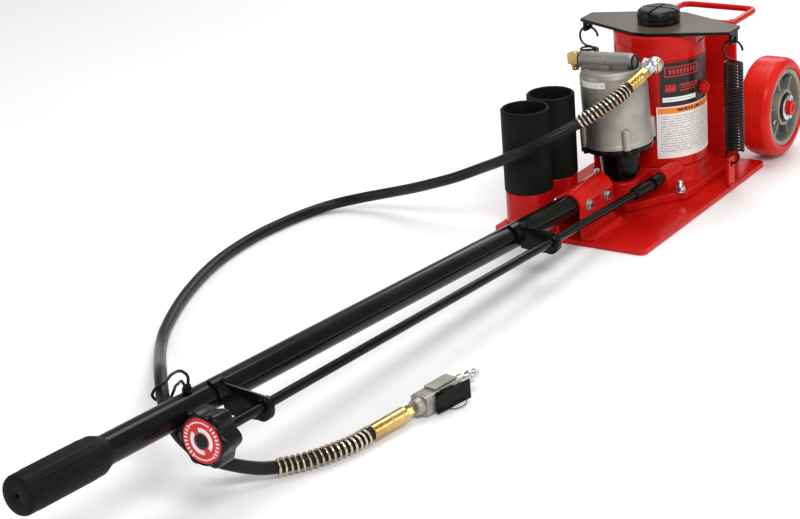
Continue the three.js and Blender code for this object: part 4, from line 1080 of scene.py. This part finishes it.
def addReleaseRod():
    depth = 0.03
    bar = turned([(0, knobFace + depth - 0.006), (0.006, knobFace + depth - 0.006), (0.006, -0.0482),
        (0.0078, -0.0478), (0.009, -0.0462), (0.0092, -0.043), (0.0092, -0.031), (0.0087, -0.0304),
        (0.0087, -0.0292), (0.0095, -0.0286), (0.0095, -0.0088), (0.0088, -0.0083), (0, -0.0083)], "Y", 48)
    forks = [cube((side * 0.0068 - 0.0018, -0.012, -0.0058), (side * 0.0068 + 0.0018, -0.001, 0.0058))
        for side in (-1, 1)]
    rivet = rod(0.0028, -0.0092, 0.0092, "X", 20, 0.0006)
    crossPin = shifted(rod(0.0024, -0.0101, 0.0101, "Z", 20, 0.0006), 0, -0.019)
    piece("release_shaft", [bar, *forks, rivet, crossPin], blackPaint, ["release_rod"], 0.0005,
        body="release_rod", place=rodPlace)
    cross = [cube((-0.0042, -0.0042, -0.0042), (0.0042, 0.0042, 0.0042)),
        rod(0.0074, -0.0079, 0.0079, "Y", 32, 0.0022), rod(0.0028, -0.0064, 0.0064, "Z", 20, 0.0008)]
    piece("joint_block", cross, springBlack, ["joint_cross"], body="release_rod", place=rodPlace)
    here = Matrix.Translation(rodStart)
    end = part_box("release_valve_stem")[1].y - rodStart[1]
    stem = turned([(0, 0.0087), (0.0088, 0.0087), (0.0095, 0.0094), (0.0095, 0.019), (0.0089, 0.0202),
        (0.0085, 0.0208), (0.0085, end - 0.006), (0.0077, end - 0.0055), (0.0077, end - 0.004),
        (0.0085, end - 0.0035), (0.0085, end), (0, end)], "Y", 48)
    forks = [cube((-0.005, 0.001, side * 0.006 - 0.0015), (0.005, 0.012, side * 0.006 + 0.0015))
        for side in (-1, 1)]
    pin = shifted(rod(0.0024, -0.0099, 0.0099, "X", 20, 0.0006), 0, 0.0145)
    piece("valve_spindle", [stem, *forks, pin], blackPaint, ["release_valve_stem"], 0.0005,
        body="valve_stem", place=here)

    lobes, radius, swell = 6, 0.0335, 0.0029
    outline = []
    for i in range(lobes * 20):
        angle = fullTurn * i / (lobes * 20)
        reach = radius - swell + swell * cos(angle * lobes)
        outline.append((reach * cos(angle), reach * sin(angle)))
    knob = slab(outline, -depth, -0.0004)
    front = [face for face in knob.faces if abs(face.normal.z) > 0.9]
    rims = list({edge for face in front for edge in face.edges})
    bmesh.ops.bevel(knob, geom=rims, offset=0.0042, offset_type="OFFSET", affect="EDGES", segments=5,
        profile=0.5, material=-1, clamp_overlap=True)
    knob = moved(knob, tilted((0, knobFace, 0), 90))
    ring = turned([(0.0263, 0.002), (0.0263, -0.0001), (0.0274, -0.0008), (0.0285, 0.0004), (0.0285, 0.002),
        (0.0263, 0.002)], "Y", 72)
    ring = shifted(ring, 0, knobFace)
    hubBack = turned([(0.0064, knobFace + depth - 0.002), (0.0064, knobFace + depth + 0.0035),
        (0.0105, knobFace + depth + 0.0035), (0.0118, knobFace + depth + 0.0015),
        (0.0122, knobFace + depth - 0.002), (0.0064, knobFace + depth - 0.002)], "Y", 40)
    piece("lobed_knob", [knob, ring, hubBack], knobPlastic, ["release_knob"], 0, body="release_rod",
        smooth=50, place=rodPlace)
    disc = turned([(0, knobFace - 0.0004), (0.0252, knobFace - 0.0004), (0.026, knobFace + 0.0003),
        (0.026, knobFace + 0.0015), (0, knobFace + 0.0015)], "Y", 72)
    centre = turned([(0, knobFace - 0.001), (0.0065, knobFace - 0.001), (0.0072, knobFace - 0.0004),
        (0, knobFace - 0.0002)], "Y", 40)
    piece("knob_face", [disc], discLook(), ["knob_disc"], 0, body="release_rod", place=rodPlace)
    piece("knob_plug", [centre], knobPlastic, edge=0, body="release_rod", place=rodPlace)


def discLook():  # a red face with a white band, arrows and a dark centre
    look = Look("knob_disc_print", Coat_Weight=0.15, Coat_Roughness=0.08, Specular_IOR_Level=0.3)
    x, z = look.spots()[::2]
    x = x - rodStart[0]
    z = z - (rodStart[2] - knobFace * sin(radians(rodSlope)))
    radius = (x * x + z * z).root()
    angle = z.over(x)
    red, white = (0.72, 0.012, 0.02, 1), (0.85, 0.84, 0.82, 1)
    colour = look.mix(look.noise(120, 3) * 0.4, red, (0.62, 0.01, 0.014, 1))
    outer = inside(look, radius, 0.0192, 0.0236)
    marks = look.step((angle * 31).sine(), -0.1, 0.3)
    words = inside(look, (angle * 2 + 1.3).sine(), -0.2, 2, 0.03)
    colour = look.mix(outer * marks * words, colour, white)
    arrows = inside(look, radius, 0.0206, 0.022) * (1 - words)
    colour = look.mix(arrows, colour, white)
    bands = look.step((angle * 2 + 0.4).sine(), -0.82, -0.76)
    colour = look.mix(inside(look, radius, 0.0104, 0.0152) * bands, colour, white)
    colour = look.mix(1 - look.step(radius, 0.009, 0.0094), colour, grey(0.006))
    return look.done(colour, 0.24 + look.noise(60, 4) * 0.12)


motor = {"lean": 3, "lugs": (-48, -138, 132, 42), "radius": 0.0505}


def addMotor():
    place = tilted((-0.004, -0.124, 0.0463), -motor["lean"], "Y")
    neck = turned([(0, 0.0016), (0.0205, 0.0016), (0.022, 0.003), (0.022, 0.0098), (0.0265, 0.0102),
        (0.028, 0.0116), (0.0285, 0.022), (0.0282, 0.0225), (0.0282, 0.0245), (0.0287, 0.025),
        (0.0296, 0.0415), (0.03, 0.0435), (0.03, 0.047), (0, 0.047)], "Z", 72)
    piece("pump_neck", [neck], blackPaint, ["pump_collar"], 0.0005, place=place)

    r = motor["radius"]
    spots = [(cos(radians(a)) * (r - 0.001), sin(radians(a)) * (r - 0.001)) for a in motor["lugs"]]
    base = turned([(0, 0.0473), (r - 0.0035, 0.0473), (r - 0.001, 0.0485), (r, 0.0505), (r, 0.0545),
        (r - 0.0007, 0.055), (r - 0.0007, 0.056), (0, 0.056)], "Z", 96)
    ears = [shifted(rod(0.0066, 0.0492, 0.0552, "Z", 32, 0.0008), x, y) for x, y in spots]
    heads = [shifted(hexHead(0.0044, 0.0455, 0.0492), x, y) for x, y in spots]
    piece("motor_flange", [base, *ears, *heads], blackPaint, ["motor_base"], 0.0004, place=place)

    low = 0.0563
    top = low + 0.112
    can = turned([(0, low), (r, low), (r, low + 0.0045), (r - 0.0008, low + 0.0062),
        (r - 0.0016, low + 0.0075), (r - 0.0018, top - 0.026), (r - 0.002, top - 0.0245),
        (r - 0.002, top - 0.01), *arc(r - 0.012, top - 0.01, 0.01, 0, 90, 5), (r - 0.016, top),
        (r - 0.0175, top - 0.0016), (0, top - 0.0016)], "Z", 128)
    lugs = []
    for (x, y), angle in zip(spots, motor["lugs"]):
        post = turned([(0, low), (0.0062, low), (0.0066, low + 0.0005), (0.0064, low + 0.027),
            (0.0056, low + 0.0292), (0.0035, low + 0.0302), (0, low + 0.0304)], "Z", 32)
        back = moved(cube((r - 0.012, -0.0064, low), (r - 0.001, 0.0064, low + 0.0262)),
            Matrix.Rotation(radians(angle), 4, "Z"))
        lugs += [shifted(post, x, y), back]
    tz, tr = 0.177, 0.0125
    tube = turned([(0, -0.051), (0.0098, -0.051), (0.0114, -0.05), (0.0124, -0.047), (tr, -0.045),
        (tr, -0.0085), (tr - 0.0008, -0.008), (tr - 0.0008, -0.0068), (tr, -0.0062), (tr, 0.03),
        (tr - 0.0014, 0.0335), (tr - 0.0022, 0.037), (0, 0.037)], "X", 72)
    tube = shifted(tube, 0, 0, tz)
    block = cube((-0.043, -tr + 0.0004, top - 0.006), (0.031, tr - 0.0004, tz))
    strut = cube((-0.012, -0.0175, top - 0.006), (0.004, 0.0175, tz - 0.004))
    piece("motor_casting", [can, *lugs, tube, block, strut], castMetal, ["air_motor_body"], 0.0012,
        smooth=34, place=place)
    rings = [shifted(pipe(0.009, 0.0119, -0.0511, -0.0489, "X", 48, 0.0004), 0, 0, tz),
        shifted(pipe(0.008, 0.0112, 0.0362, 0.0386, "X", 48, 0.0004), 0, 0, tz)]
    piece("seal_rings", rings, knobPlastic, edge=0, slot="rubber", place=place)

    low = 0.1492
    piece("maker_strip", [labelSkin(r - 0.0019, -127, -76, low, low + 0.0088)], stripLook(), edge=0,
        slot="cast_metal", place=place)

    lowX = -0.069
    body = cube((lowX, -0.0078, tz - 0.0058), (-0.0513, 0.0078, tz + 0.0098))
    spigot = shifted(turned([(0, tz - 0.016), (0.0044, tz - 0.016), (0.0055, tz - 0.0148),
        (0.0055, tz - 0.012), (0.0049, tz - 0.0115), (0.0049, tz - 0.0105), (0.0055, tz - 0.01),
        (0.0055, tz - 0.004), (0, tz - 0.004)], "Z", 32), -0.061)
    collar = shifted(hexHead(0.0074, tz - 0.0085, tz - 0.0056), -0.061)
    dimple = shifted(turned([(0, tz + 0.0094), (0.0042, tz + 0.0094), (0.0046, tz + 0.0102),
        (0.0036, tz + 0.0108), (0.002, tz + 0.0106), (0, tz + 0.0102)], "Z", 32), -0.06)
    piece("elbow_fitting", [body, spigot, collar, dimple], brassMetal, ["brass_elbow"], 0.0011, place=place)


def stripLook():  # a blank printed strip
    look = Look("blank_strip")
    spots = look.spots()
    white = look.mix(look.noise(40, 4) * 0.6, (0.74, 0.74, 0.72, 1), (0.85, 0.85, 0.83, 1))
    dashes = look.step(look.noise(420, 1, (1, 1, 0.1)), 0.5, 0.56) * 0.55
    height = spots[2] - spots[0] * tan(radians(motor["lean"]))
    middle = inside(look, height, 0.1988, 0.2012)
    return look.done(look.mix(dashes * middle, white, grey(0.22)), 0.4 + look.noise(80, 4) * 0.14)


def addSwivel():
    start = Vector(hose["swivel"])
    place = aimed(start, hose["route"][0])
    ball = bmesh.new()
    bmesh.ops.create_uvsphere(ball, u_segments=48, v_segments=32, radius=0.012)
    neck = turned([(0, 0.006), (0.0078, 0.0092), (0.0078, 0.0108), (0.007, 0.0116), (0.007, 0.0152),
        (0.0078, 0.016), (0.0078, 0.0185), (0.007, 0.019), (0, 0.019)], "Y", 48)
    piece("swivel_ball", [ball, neck], zincSteel, ["hose_swivel"], 0.0003, place=place)
    here = Matrix.Translation(start)
    nut = hexHead(0.009, -0.018, -0.0125, "X")
    barrel = turned([(0, -0.0126), (0.0076, -0.0126), (0.0082, -0.012), (0.0082, -0.008), (0, -0.008)], "X",
        48)
    cap = turned([(0.0086, 0.0072), (0.0094, 0.0076), (0.0092, 0.0094), (0.0068, 0.0108), (0.0044, 0.0106),
        (0.0044, 0.0085), (0.0086, 0.0072)], "X", 48)
    piece("swivel_nut", [nut, barrel], zincSteel, edge=0.0003, place=here)
    piece("swivel_ring", [cap], brassMetal, edge=0.0002, place=here)


stages = [("camera and lights", (addCamera, addLights)), ("hose", (addHose, addSwivel)),
    ("base", (addBase, addCasting)), ("tank", (addTank, addCapNut)),
    ("ram and springs", (addRam, addSprings)), ("rear frame and wheels", (addRearFrame, addWheels)),
    ("extensions", (addExtensions,)), ("handle", (addSocket, addHandle, addBrackets)),
    ("release rod", (addReleaseRod,)), ("air motor", (addMotor,))]
for name, makers in stages:
    for maker in makers:
        maker()
    print(name, "done")

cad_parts["pressure_cylinder"].data.materials.clear()
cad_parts["pressure_cylinder"].data.materials.append(zincSteel)


def addFloor():
    shape = bmesh.new()
    bmesh.ops.create_grid(shape, x_segments=1, y_segments=1, size=9)
    mesh = bpy.data.meshes.new("floor")
    shape.to_mesh(mesh)
    shape.free()
    look = Look("floor_paper")
    look.feed("Base Color", look.mix(look.noise(2, 4), grey(0.86), grey(0.9)))
    look.feed("Roughness", 0.55 + look.noise(5, 3) * 0.1)
    mesh.materials.append(look.material)
    floor = bpy.data.objects.new("floor", mesh)
    floor.location.z = -0.0002
    scene.collection.objects.link(floor)


addFloor()
